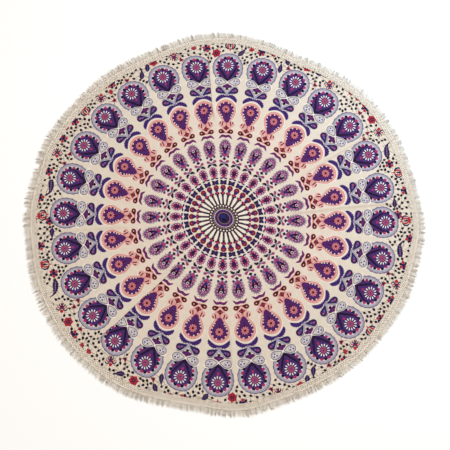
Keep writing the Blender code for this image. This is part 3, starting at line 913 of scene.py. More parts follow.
# The main stem swings about its middle distance, and is painted in arcs of STEM_ARC degrees
VINE_MIDDLE_OUT = 812.0
VINE_SWING = 11.0
VINE_WAVES = 11
STEM_ARC = 15.0
STEM_POINTS = 15


def vine_line(along):
    """Distance out of the main stem at an angle along the vine."""
    return VINE_MIDDLE_OUT + VINE_SWING * np.sin(np.radians(along) * 2.0 * VINE_WAVES)


def free_of_roundels(along, out):
    """Whether a place in the border keeps clear of the nearest roundel."""
    ray_angle = (along - 0.5 * RAY_STEP) % RAY_STEP
    away = math.radians(min(ray_angle, RAY_STEP - ray_angle))
    side = out * math.sin(away)
    return math.hypot(side, out * math.cos(away) - ROUNDEL_OUT) > ROUNDEL_RADIUS + ROUNDEL_CLEARANCE


def berry_places():
    """Along, out, size and turn of the berries that find room in one half of the vine."""
    rng = random.Random(BERRY_SEED)
    taken = []
    for bloom in BLOOMS:
        for half in VINE_HALVES:
            angle = math.radians(bloom.along + half)
            taken.append((bloom.out * math.sin(angle), bloom.out * math.cos(angle),
                          BLOOM_REACH[bloom.motif]))
    berries = []
    for _ in range(BERRY_TRIES):
        along = rng.uniform(0.0, 180.0)
        out = rng.uniform(BERRY_INNER_OUT, BERRY_OUTER_OUT)
        size = rng.uniform(BERRY_LEAST, BERRY_LARGEST)
        angle = math.radians(along)
        east, north = out * math.sin(angle), out * math.cos(angle)
        if not free_of_roundels(along, out):
            continue
        if all(math.hypot(east - x, north - y) > reach + 0.5 * BERRY_SPACING for x, y, reach in taken):
            berries.append((along, out, size, rng.uniform(-BERRY_TURN, BERRY_TURN)))
            taken.append((east, north, 0.5 * BERRY_SPACING))
            taken.append((-east, -north, 0.5 * BERRY_SPACING))
    return berries


def main_stem(half):
    """The stem of one half of the vine, as placed outlines."""
    placed = []
    for start in np.arange(0.0, 180.0, STEM_ARC):
        along = np.linspace(start, start + STEM_ARC, STEM_POINTS)
        out = vine_line(along)
        line = np.stack([out * np.sin(np.radians(along + VINE_START + half)),
                         out * np.cos(np.radians(along + VINE_START + half))], axis=1)
        placed.append(("olive", stroke(line, (1.6, 1.6), step=20.0)))
    return placed


def drawn_vine():
    """The border as placed outlines: in each half the stem, berries, twigs, then the blooms."""
    motifs = {"flower": flower_motif(), "rosette": rosette_motif(), "bud": bud_motif(), "pod": pod_motif(),
              "red_sprig": red_sprig_motif(), "fan": fan_motif(), "leaf": leaf_motif(),
              "feather_leaf": feather_leaf_motif()}
    twigs = Drawing()
    twigs.pair("olive", dash((0.0, 0.0), (21.0, 23.0), 3.0, 1.6), dash((0.0, 0.0), (28.0, -13.0), 3.0, 1.6))
    berries = berry_places()
    placed = []
    for half in VINE_HALVES:
        placed += main_stem(half)
        for along, out, size, turn in berries:
            berry = Drawing()
            berry.paint("olive", dash((0.0, 0.0), (1.5, -16.0), 2.2, 1.6))
            berry.paint("berry", drop((0.0, 0.6), size, (0.0, size * 1.6)))
            placed += berry.placed(along + VINE_START + half, out, turn)
        for bloom in BLOOMS:
            placed += twigs.placed(bloom.along + VINE_START + half, bloom.out, bloom.turn)
        for bloom in BLOOMS:
            placed += motifs[bloom.motif].placed(bloom.along + VINE_START + half, bloom.out, bloom.turn,
                                                 BLOOM_SIZE[bloom.motif])
    return placed


# ---------------------------------------------------------------- the printed towel

RIM_POINTS = 720

# Loose points between the lines of the mesh: a shaken square grid, kept clear of the lines
GRID_HALF = 0.90
GRID_STEP = 0.015
GRID_SHAKE = 0.0030
GRID_CLEARANCE = 0.0045
GRID_SEED = 3

# Lines that the mesh follows across each crease, and the step along them
CREASE_LINE_STEP = 0.012
TUCK_TURN_LINES = 6
TUCK_SLOPE_LINES = 5
RIDGE_LINES = 8

# How far the borders between dyes may be straightened
PRINT_SLACK = 0.00065

# The underside shows the larger shapes only, paler; the least area is in square millimetres
BACK_LEAST_AREA = 1100.0
BACK_GRID_STEP = 0.030
BACK_SLACK = 0.0026
BACK_SHOW_THROUGH = 0.42

# The printing block's slow wander: how far, over what length, and its waves and start each way
PRINT_WANDER = 0.0007
PRINT_WANDER_LENGTH = 0.13
WANDER_WAVES = (5.1, 4.3)
WANDER_STARTS = (0.7, 2.1)

# How much brighter than its own colour a level piece looks in this light: red, green, blue
LIGHT_ON_TOWEL = np.array((1.16, 1.20, 1.27))

# Radii of the two faces in the bake's square map, and the flat radius that fills them
TOP_MAP_RADIUS = 0.43
BACK_MAP_RADIUS = 0.15
MAPPED_RADIUS = 0.885


def linear_dye(name):
    """What a dye reflects of red, green and blue, so that it looks as listed in this light."""
    share = np.array(DYES[name]) / 255.0
    return np.where(share <= 0.04045, share / 12.92, ((share + 0.055) / 1.055) ** 2.4) / LIGHT_ON_TOWEL


# How the print lies off its even drawing at a distance out from its centre, in millimetres: spread
# outwards, twist clockwise, shift east and north, and the one-, two- and three-sided waves of its
# rings; each turn is the bearing where the wave before it pushes clockwise most.
Drift = namedtuple("Drift", "out spread twist east north oval_out oval_aside oval_turn three_out three_aside"
                            " swing swing_turn")
DRIFT = [Drift(*row) for row in (
    (0.0, 0.0, 0.0, 0.5, -4.4, 0.0, 0.0, 77.0, 0.0, 0.0, 0.0, 225.0),
    (66.0, 0.8, 0.0, 0.0, -4.4, 4.6, 4.0, 77.0, 0.0, 0.4, 1.8, 225.0),
    (110.0, 7.0, -1.2, -0.8, -4.3, 5.0, 5.2, 77.0, 0.1, 0.9, 2.4, 225.0),
    (210.0, 10.0, -2.6, -1.3, -4.3, 5.4, 4.2, 66.0, 0.6, 2.4, 1.2, 240.0),
    (320.0, 7.0, -3.0, -1.6, -4.6, 5.3, 2.4, 58.0, 1.2, 3.5, 1.4, 290.0),
    (440.0, 1.0, -0.8, -0.3, -5.4, 3.6, 2.0, 104.0, 2.4, 2.4, 4.4, 278.0),
    (505.0, 1.4, -1.4, 1.0, -3.0, 3.6, 1.2, 80.0, 2.4, 2.4, 2.8, 235.0),
    (580.0, 3.2, 0.0, 2.6, -4.4, 3.2, 0.8, 77.0, 3.2, 1.2, 1.6, 216.0),
    (720.0, 2.6, -0.9, 2.2, -2.8, 1.9, 0.4, 120.0, 1.0, 0.6, 0.6, 230.0),
    (900.0, 2.0, -0.9, 1.5, -2.0, 1.0, 0.2, 120.0, 0.5, 0.3, 0.0, 230.0),
)]
# Bearings where the two- and three-sided waves push outwards or clockwise most
OVAL_BEARING = 122.0
THREE_OUT_BEARING = 111.0
THREE_ASIDE_BEARING = 84.0


def drifted(outline):
    """An outline of (east, north) in millimetres as the print really lies."""
    east, north = outline[:, 0], outline[:, 1]
    out = np.maximum(np.hypot(east, north), 1e-6)
    bearing = np.degrees(np.arctan2(east, north))
    outs = [row.out for row in DRIFT]
    at = {column: np.interp(out, outs, [getattr(row, column) for row in DRIFT])
          for column in Drift._fields[1:]}
    outward = (at["spread"] + at["oval_out"] * np.cos(np.radians(2.0 * (bearing - OVAL_BEARING)))
               + at["three_out"] * np.cos(np.radians(3.0 * (bearing - THREE_OUT_BEARING))))
    aside = (at["twist"] + at["oval_aside"] * np.cos(np.radians(2.0 * (bearing - at["oval_turn"])))
             + at["three_aside"] * np.cos(np.radians(3.0 * (bearing - THREE_ASIDE_BEARING)))
             + at["swing"] * np.cos(np.radians(bearing - at["swing_turn"])))
    return np.stack([east + at["east"] + (outward * east + aside * north) / out,
                     north + at["north"] + (outward * north - aside * east) / out], axis=1)


def whole_print():
    """Every shape of the print on the flat cotton, in metres, in the order it is painted."""
    shapes = drawn_vine()
    ray = drawn_ray()
    for i in range(RAYS):
        shapes += ray.placed(RAY_PHASE + i * RAY_STEP)
    shapes += drawn_centre().placed(0.0)
    settled = []
    for dye, outline in shapes:
        x, y = (drifted(outline) * MM).T
        x = x + PRINT_WANDER * np.sin(y / PRINT_WANDER_LENGTH * WANDER_WAVES[0] + WANDER_STARTS[0])
        y = y + PRINT_WANDER * np.sin(x / PRINT_WANDER_LENGTH * WANDER_WAVES[1] + WANDER_STARTS[1])
        if np.all(np.hypot(x, y) > around(np.degrees(np.arctan2(x, y)), "hem_radius")):
            continue
        settled.append((dye, np.stack([x, y], axis=1)))
    return settled


def closed(line):
    """A line that ends where it starts."""
    return np.vstack([line, line[:1]])


def signed_area(outline):
    """Area inside a closed outline, positive where it runs counter-clockwise."""
    after = np.roll(outline, -1, axis=0)
    return 0.5 * float(np.sum(outline[:, 0] * after[:, 1] - after[:, 0] * outline[:, 1]))


def rim(inset):
    """The cut edge of the cotton, moved in by `inset`, as flat points."""
    bearing = np.linspace(0.0, 360.0, RIM_POINTS, endpoint=False)
    radius = around(bearing, "hem_radius") - inset
    angle = np.radians(bearing)
    return np.stack([radius * np.sin(angle), radius * np.cos(angle)], axis=1)


def crease_lines():
    """Lines along the creases that the mesh must follow, as runs of flat points."""
    marks = tuck_marks()
    tuck = np.concatenate([[marks[0]], np.linspace(marks[1], marks[2], TUCK_TURN_LINES + 1),
                           np.linspace(marks[3], marks[4], TUCK_TURN_LINES + 1),
                           np.linspace(marks[4], marks[5], TUCK_SLOPE_LINES + 1)[1:]]) - 0.5 * marks[-1]
    ridge = np.linspace(-0.5, 0.5, RIDGE_LINES + 1) * RIDGE_WIDTH
    lines = []
    for crease in CREASES:
        radius = np.arange(crease.inner_radius - 0.5 * FADE, crease.outer_radius + 0.5 * FADE,
                           CREASE_LINE_STEP)
        for offset in (tuck if crease.kind == "tuck" else ridge):
            angle = np.radians(crease.bearing) + offset / radius
            lines.append(np.stack([radius * np.sin(angle), radius * np.cos(angle)], axis=1))
    return lines


def crowded(points, others, clearance):
    """Which points lie nearer than the clearance to any of the others, cell by cell."""
    cells = set(map(tuple, np.floor(others / clearance).astype(int)))
    grown = {(i + di, j + dj) for i, j in cells for di in (-1, 0, 1) for dj in (-1, 0, 1)}
    keys = map(tuple, np.floor(points / clearance).astype(int))
    return np.array([key in grown for key in keys])


def triangulated(outlines, lines, loose):
    """Flat points, the triangles that follow the outlines and lines, and each one's top outline.

    Only what lies inside the first outline is kept.
    """
    points, faces, edges = [], [], []
    count = 0
    for outline in outlines:
        points.append(outline)
        faces.append(list(range(count, count + len(outline))))
        count += len(outline)
    for line in lines:
        points.append(line)
        edges += [(count + i, count + i + 1) for i in range(len(line) - 1)]
        count += len(line)
    points.append(loose)
    made = delaunay_2d_cdt([Vector(p) for p in np.vstack(points)], edges, faces, 1, 1e-7, True)
    flat = np.array([tuple(v) for v in made[0]])
    kept = [(triangle, max(owners)) for triangle, owners in zip(made[2], made[5]) if 0 in owners]
    return flat, np.array([triangle for triangle, _ in kept]), np.array([owner for _, owner in kept])


def dye_borders(triangles, dyes):
    """Runs of corners along every border between two dyes, from junction to junction."""
    sides = np.sort(np.vstack([triangles[:, (0, 1)], triangles[:, (1, 2)], triangles[:, (2, 0)]]), axis=1)
    side_dyes = np.tile(dyes, 3)
    order = np.lexsort((sides[:, 1], sides[:, 0]))
    sides, side_dyes = sides[order], side_dyes[order]
    shared = np.all(sides[1:] == sides[:-1], axis=1) & (side_dyes[1:] != side_dyes[:-1])
    neighbours = {}
    for a, b in sides[1:][shared].tolist():
        neighbours.setdefault(a, []).append(b)
        neighbours.setdefault(b, []).append(a)
    junctions = [corner for corner, near in neighbours.items() if len(near) != 2]
    walked = set()
    runs = []
    for start in junctions + list(neighbours):
        for step in neighbours[start]:
            if (start, step) in walked:
                continue
            run = [start, step]
            walked.update(((start, step), (step, start)))
            while len(neighbours[run[-1]]) == 2 and run[-1] != start:
                near = neighbours[run[-1]]
                after = near[0] if near[1] == run[-2] else near[1]
                walked.update(((run[-1], after), (after, run[-1])))
                run.append(after)
            runs.append(run)
    return runs


def thinned(run, slack):
    """The points of a run that keep it within `slack` of its path."""
    kept = np.zeros(len(run), bool)
    kept[[0, -1]] = True
    spans = [(0, len(run) - 1)]
    while spans:
        start, end = spans.pop()
        if end - start < 2:
            continue
        chord = run[end] - run[start]
        length = math.hypot(*chord)
        away = run[start + 1:end] - run[start]
        if length > 1e-9:
            off = np.abs(away[:, 0] * chord[1] - away[:, 1] * chord[0]) / length
        else:
            off = np.hypot(away[:, 0], away[:, 1])
        worst = int(np.argmax(off))
        if off[worst] > slack:
            middle = start + 1 + worst
            kept[middle] = True
            spans += [(start, middle), (middle, end)]
    return run[kept]


def flat_mesh(shapes, grid_step, slack):
    """Triangles of the flat cotton that follow every border that shows, and the dye of each.

    The print is triangulated once to find which borders show, and once more along these alone.
    """
    edge = [rim(0.0)[::-1]]
    names = list(DYES)
    outlines = edge + [outline if signed_area(outline) > 0.0 else outline[::-1] for _, outline in shapes]
    painted = np.array([names.index(dye) for dye in ["ground"] + [dye for dye, _ in shapes]])
    flat, triangles, owners = triangulated(outlines, [], np.zeros((0, 2)))
    dyes = painted[owners]
    borders = [thinned(flat[run], slack) for run in dye_borders(triangles, dyes)]
    lines = borders + crease_lines() + [closed(rim(HEM_WIDTH + side * HEM_ROUNDING)) for side in (-1.0, 1.0)]
    rng = np.random.default_rng(GRID_SEED)
    steps = np.arange(-GRID_HALF, GRID_HALF, grid_step)
    grid = np.stack(np.meshgrid(steps, steps), axis=-1).reshape(-1, 2)
    grid += rng.uniform(-GRID_SHAKE, GRID_SHAKE, grid.shape)
    limit = around(np.degrees(np.arctan2(grid[:, 0], grid[:, 1])), "hem_radius") - HEM_WIDTH - GRID_CLEARANCE
    grid = grid[np.hypot(grid[:, 0], grid[:, 1]) < limit]
    grid = grid[~crowded(grid, np.vstack(lines), GRID_CLEARANCE)]
    print_found = BVHTree.FromPolygons([(x, y, 0.0) for x, y in flat], triangles.tolist())
    flat, triangles, _ = triangulated(edge, lines, grid)
    middles = flat[triangles].mean(axis=1)
    found = [print_found.find_nearest((x, y, 0.0))[2] for x, y in middles]
    return flat, triangles, [names[dye] for dye in dyes[found]]


def cotton_thickness(flat):
    """Thickness at flat points: one layer, and the turned layers within the hem."""
    inset = (around(np.degrees(np.arctan2(flat[:, 0], flat[:, 1])), "hem_radius")
             - np.hypot(flat[:, 0], flat[:, 1]))
    share = smooth_step((HEM_WIDTH + HEM_ROUNDING - inset) / (2.0 * HEM_ROUNDING))
    return COTTON_THICK + share * (HEM_THICK - COTTON_THICK)


def rim_corners(flat, triangles):
    """Corners on the outer edge of a flat mesh and their bearings, in clockwise order."""
    edges = np.vstack([triangles[:, (0, 1)], triangles[:, (1, 2)], triangles[:, (2, 0)]])
    _, which, uses = np.unique(np.sort(edges, axis=1), axis=0, return_inverse=True, return_counts=True)
    corners = np.unique(edges[uses[which.ravel()] == 1])
    bearing = np.degrees(np.arctan2(flat[corners, 0], flat[corners, 1])) % 360.0
    order = np.argsort(bearing)
    return corners[order], bearing[order]


def joined_rims(top_corners, top_bearings, back_corners, back_bearings, back_offset):
    """The wall between the two outer edges, as triangles that face out."""
    sides = []
    i = j = 0
    tops, backs = len(top_corners), len(back_corners)
    while i < tops or j < backs:
        top_here, back_here = top_corners[i % tops], back_corners[j % backs] + back_offset
        top_next = top_bearings[i + 1] if i + 1 < tops else 360.0 + top_bearings[0]
        back_next = back_bearings[j + 1] if j + 1 < backs else 360.0 + back_bearings[0]
        if j >= backs or (i < tops and top_next <= back_next):
            sides.append((top_here, top_corners[(i + 1) % tops], back_here))
            i += 1
        else:
            sides.append((top_here, back_corners[(j + 1) % backs] + back_offset, back_here))
            j += 1
    return sides


def face_colours(top_dyes, back_dyes, side_count):
    """Colour of each triangle: the print, the paler print of the underside, and the edge."""
    ground = linear_dye("ground")
    shades = {name: linear_dye(name) for name in DYES}
    top_colour = np.array([shades[dye] for dye in top_dyes])
    back_colour = np.array([shades[dye] for dye in back_dyes])
    back_colour = ground + (back_colour - ground) * BACK_SHOW_THROUGH
    return np.vstack([top_colour, back_colour, np.tile(ground, (side_count, 1))])


def add_maps(mesh, flat, is_top):
    """The cut shape in metres, which the finish reads, and a square map for the bake."""
    cut_map = mesh.uv_layers.new(name="cut_shape")
    cut_map.data.foreach_set("uv", flat.astype(np.float32).ravel())
    share = flat / MAPPED_RADIUS
    top_uv = TOP_MAP_RADIUS * (1.0 + share)
    back_uv = 1.0 - BACK_MAP_RADIUS * (1.0 + share)
    bake_map = mesh.uv_layers.new(name="OFBake")
    bake_map.data.foreach_set("uv", np.where(is_top, top_uv, back_uv).astype(np.float32).ravel())


def printed_towel():
    """The round of cotton: one closed thin sheet whose triangles follow the print."""
    shapes = whole_print()
    top_flat, top_tris, top_dyes = flat_mesh(shapes, GRID_STEP, PRINT_SLACK)
    least = BACK_LEAST_AREA * MM * MM
    back_shapes = [(dye, outline) for dye, outline in shapes if abs(signed_area(outline)) > least]
    back_flat, back_tris, back_dyes = flat_mesh(back_shapes, BACK_GRID_STEP, BACK_SLACK)
    top = laid_cotton(top_flat, cotton_thickness(top_flat))[0]
    back = laid_cotton(back_flat, cotton_thickness(back_flat))[1]
    sides = joined_rims(*rim_corners(top_flat, top_tris), *rim_corners(back_flat, back_tris), len(top))

    mesh = bpy.data.meshes.new("printed_towel")
    back_turned = back_tris[:, ::-1] + len(top)
    triangles = np.vstack([top_tris, back_turned, np.array(sides)])
    mesh.from_pydata(np.vstack([top, back]), [], triangles.tolist())

    corner_colour = np.ones((len(triangles), 3, 4), np.float32)
    corner_colour[:, :, :3] = face_colours(top_dyes, back_dyes, len(sides))[:, None, :]
    dye = mesh.color_attributes.new("dye", "FLOAT_COLOR", "CORNER")
    dye.data.foreach_set("color", corner_colour.ravel())
    is_top = np.repeat(np.arange(len(triangles)) < len(top_tris), 3)[:, None]
    add_maps(mesh, np.vstack([top_flat, back_flat])[triangles].reshape(-1, 2), is_top)

    mesh.shade_smooth()
    piece = bpy.data.objects.new("printed_towel", mesh)
    bpy.context.scene.collection.objects.link(piece)
    return piece


# ---------------------------------------------------------------- trim along the hem

# The tape: its lap over the hem, its reach beyond, and its net of crossed braids
TAPE_LAP = 0.009
TAPE_REACH = 0.020
TAPE_PITCH = 0.0096
TAPE_ROWS = 4
TAPE_ROW_PITCH = 0.0065
NET_START = -0.5 * TAPE_LAP - 0.003
TAPE_RAMP_END = 0.009
TAPE_OVER_HEM = 0.0031
TAPE_ON_GROUND = 0.0011
BRAID_HALF_WIDTH = 0.0017
BRAID_HEIGHT = 0.0005
BRAID_WEAVE = 0.00035
BRAID_SECTION = [(-1.0, -0.6), (-0.5, 1.0), (0.5, 1.0), (1.0, -0.6)]
TAPE_PUCKER = 0.0012
PUCKER_NOISE_SCALE = 22.0

# The tape's three cords: distance out from the hem's edge, half of the width, and height
Cord = namedtuple("Cord", "out half_width height")
TAPE_CORDS = [Cord(*row) for row in (
    (0.0012 - TAPE_LAP, 0.0012, 0.0008),
    (TAPE_REACH - 0.0052, 0.0013, 0.0009),
    (TAPE_REACH - 0.0016, 0.0016, 0.0011),
)]
CORD_SECTION = [(-1.0, -0.6), (-0.6, 1.0), (0.6, 1.0), (1.0, -0.6)]
CORD_BUMP = 0.0003
CORD_POINTS = 5

# The fringe's locks, each of a few yarns; one shade for each shape of lock, 1 the darkest
FRINGE_SEED = 5
LOCK_PITCH = 0.0086
LOCK_SHADES = (0.0, 0.76, 0.30, 0.90, 0.10, 0.62, 0.0, 0.82)
LOCK_YARNS = 7
LOCK_LENGTH = 0.031
LOCK_LEAN = 0.14
LOCK_SHORTEST = 0.86
LOCK_LONGEST = 1.03
LOCK_GATHER = 0.0012
YARN_RADIUS = 0.00058
YARN_STEPS = 5
YARN_SHORTEST = 0.70
YARN_LONGEST = 1.08
YARN_CLOSEST = 0.55
YARN_WIDEST = 1.35
YARN_STRAY = 0.0011
YARN_BOW = 0.0012
YARN_UNDER_TAPE = 0.004
YARN_HEIGHT = 0.0011
YARN_LIFT = 0.0007
YARN_DROOP = 0.0005

# The stitches that hold the tape, in a line just inside the hem's edge
STITCH_LINE = -0.005
STITCH_PITCH = 0.0048
STITCH_LENGTH = 0.0032
STITCH_RADIUS = 0.0003
STITCH_RISE = 0.00045
STITCH_ON_TAPE = 0.0006

# Places where the fringe is short or missing: bearing, half of its width in degrees, share left
Gap = namedtuple("Gap", "bearing half_width share_left")
FRINGE_GAPS = [Gap(*row) for row in (
    (270.0, 0.5, 0.45),
    (283.2, 0.6, 0.35),
)]


def hem_path(name, offset):
    """A closed line of edges along the hem, moved out by `offset`, that carries the fringe's length."""
    flat = rim(-offset)
    bearing = np.linspace(0.0, 360.0, RIM_POINTS, endpoint=False)
    length = around(bearing, "fringe_length")
    for gap in FRINGE_GAPS:
        near = smooth_step(1.5 - np.abs(wrap_degrees(bearing - gap.bearing)) / gap.half_width)
        length = length * (1.0 - near * (1.0 - gap.share_left))
    mesh = bpy.data.meshes.new(name)
    corners = [(PRINT_CENTRE[0] + x, PRINT_CENTRE[1] + y, 0.0) for x, y in flat]
    mesh.from_pydata(corners, [(i, (i + 1) % RIM_POINTS) for i in range(RIM_POINTS)], [])
    stored = mesh.attributes.new("fringe_length", "FLOAT", "POINT")
    stored.data.foreach_set("value", length.astype(np.float32))
    return bpy.data.objects.new(name, mesh)


def mesh_piece(name, points, faces):
    """An object made of plain points and faces, not yet in the scene."""
    mesh = bpy.data.meshes.new(name)
    mesh.from_pydata([tuple(point) for point in points], [], faces)
    mesh.shade_smooth()
    return bpy.data.objects.new(name, mesh)


def swept(path, section, closed_ends=True):
    """Points and faces of a section of (across, up) carried along a path of (along, across, up)."""
    path = np.asarray(path, float)
    section = np.asarray(section, float)
    heading = np.gradient(path[:, :2], axis=0)
    heading /= np.linalg.norm(heading, axis=1)[:, None]
    aside = np.stack([heading[:, 1], -heading[:, 0], np.zeros(len(path))], axis=1)
    rings = path[:, None, :] + section[None, :, :1] * aside[:, None, :]
    rings[:, :, 2] += section[None, :, 1]
    count = len(section)
    faces = []
    for i in range(len(path) - 1):
        for j in range(count):
            k = (j + 1) % count
            faces.append((i * count + j, i * count + k, (i + 1) * count + k, (i + 1) * count + j))
    if closed_ends:
        faces.append(tuple(range(count - 1, -1, -1)))
        faces.append(tuple((len(path) - 1) * count + j for j in range(count)))
    return rings.reshape(-1, 3), faces


def joined_sweeps(name, sweeps):
    """One object from many sweeps."""
    points, faces = [], []
    for sweep_points, sweep_faces in sweeps:
        start = len(points)
        points += list(sweep_points)
        faces += [tuple(start + corner for corner in face) for face in sweep_faces]
    return mesh_piece(name, points, faces)


def tape_height(out):
    """Height of the tape's middle at a distance out from the hem's edge."""
    return TAPE_OVER_HEM + (TAPE_ON_GROUND - TAPE_OVER_HEM) * smooth_step(out / TAPE_RAMP_END)


def net_cell():
    """One column of the tape's diamond net with its cords, TAPE_PITCH long.

    Its "shade" is 1 at every other knot: painted shadow that stands in for the shade falling in the net's
    holes.
    """
    section = [(across * BRAID_HALF_WIDTH, up * BRAID_HEIGHT) for across, up in BRAID_SECTION]
    sweeps = []
    for row in range(TAPE_ROWS):
        low = NET_START + row * TAPE_ROW_PITCH
        high = low + TAPE_ROW_PITCH
        for outs, over in (((low, high, low), BRAID_WEAVE), ((high, low, high), -BRAID_WEAVE)):
            out = np.array(outs)
            up = tape_height(out) + over * np.array((1.0, -1.0, 1.0))
            along = np.array((-0.5, 0.0, 0.5)) * TAPE_PITCH
            sweeps.append(swept(np.stack([along, out, up], axis=1), section, closed_ends=False))
    for cord in TAPE_CORDS:
        section = [(across * cord.half_width, up * cord.height) for across, up in CORD_SECTION]
        share = np.linspace(-0.5, 0.5, CORD_POINTS)
        bump = CORD_BUMP * np.cos(4.0 * math.pi * share)
        path = np.stack([share * TAPE_PITCH, np.full(CORD_POINTS, cord.out) + bump,
                         tape_height(cord.out) + np.abs(bump)], axis=1)
        sweeps.append(swept(path, section, closed_ends=False))
    cell = joined_sweeps("net_cell", sweeps)
    # Painted shadow: every other knot of the net is marked here, and the finish darkens it
    shade = cell.data.attributes.new("shade", "FLOAT", "POINT")
    for point, stored in zip(cell.data.vertices, shade.data):
        row = round((point.co.y - NET_START) / TAPE_ROW_PITCH)
        column = round(2.0 * point.co.x / TAPE_PITCH)
        stored.value = float((row + column) % 2)
    return cell


def lock_shape(index, rng):
    """One lock of the fringe: loose yarns that start under the tape and rest on the ground."""
    section = [(YARN_RADIUS * math.sin(angle), YARN_RADIUS * math.cos(angle))
               for angle in (0.0, 2.0 * math.pi / 3.0, 4.0 * math.pi / 3.0)]
    sweeps = []
    gather = rng.uniform(-LOCK_GATHER, LOCK_GATHER)
    share = np.linspace(0.0, 1.0, YARN_STEPS + 1)
    for yarn in range(LOCK_YARNS):
        root = ((yarn + 0.5) / LOCK_YARNS - 0.5) * LOCK_PITCH
        reach = LOCK_LENGTH * rng.uniform(YARN_SHORTEST, YARN_LONGEST)
        end = root * rng.uniform(YARN_CLOSEST, YARN_WIDEST) + gather + rng.uniform(-YARN_STRAY, YARN_STRAY)
        bow = rng.uniform(-YARN_BOW, YARN_BOW)
        along = root + (end - root) * share**1.4 + bow * np.sin(math.pi * share)
        out = -YARN_UNDER_TAPE + (reach + YARN_UNDER_TAPE) * share
        up = YARN_HEIGHT + rng.uniform(0.0, YARN_LIFT) * np.sin(math.pi * share) - YARN_DROOP * share
        sweeps.append(swept(np.stack([along, out, up], axis=1), section))
    lock = joined_sweeps(f"lock_{index}", sweeps)
    shade = lock.data.attributes.new("shade", "FLOAT", "POINT")
    shade.data.foreach_set("value", [LOCK_SHADES[index]] * len(lock.data.vertices))
    return lock


def stitch_shape():
    """One short stitch of the thread that holds the tape."""
    share = np.linspace(-0.5, 0.5, 5)
    section = [(-STITCH_RADIUS, 0.0), (0.0, STITCH_RADIUS), (STITCH_RADIUS, 0.0), (0.0, -STITCH_RADIUS)]
    up = STITCH_RISE * np.cos(math.pi * share) ** 0.7
    path = np.stack([share * STITCH_LENGTH, np.zeros_like(share), up], axis=1)
    return joined_sweeps("stitch", [swept(path, section)])


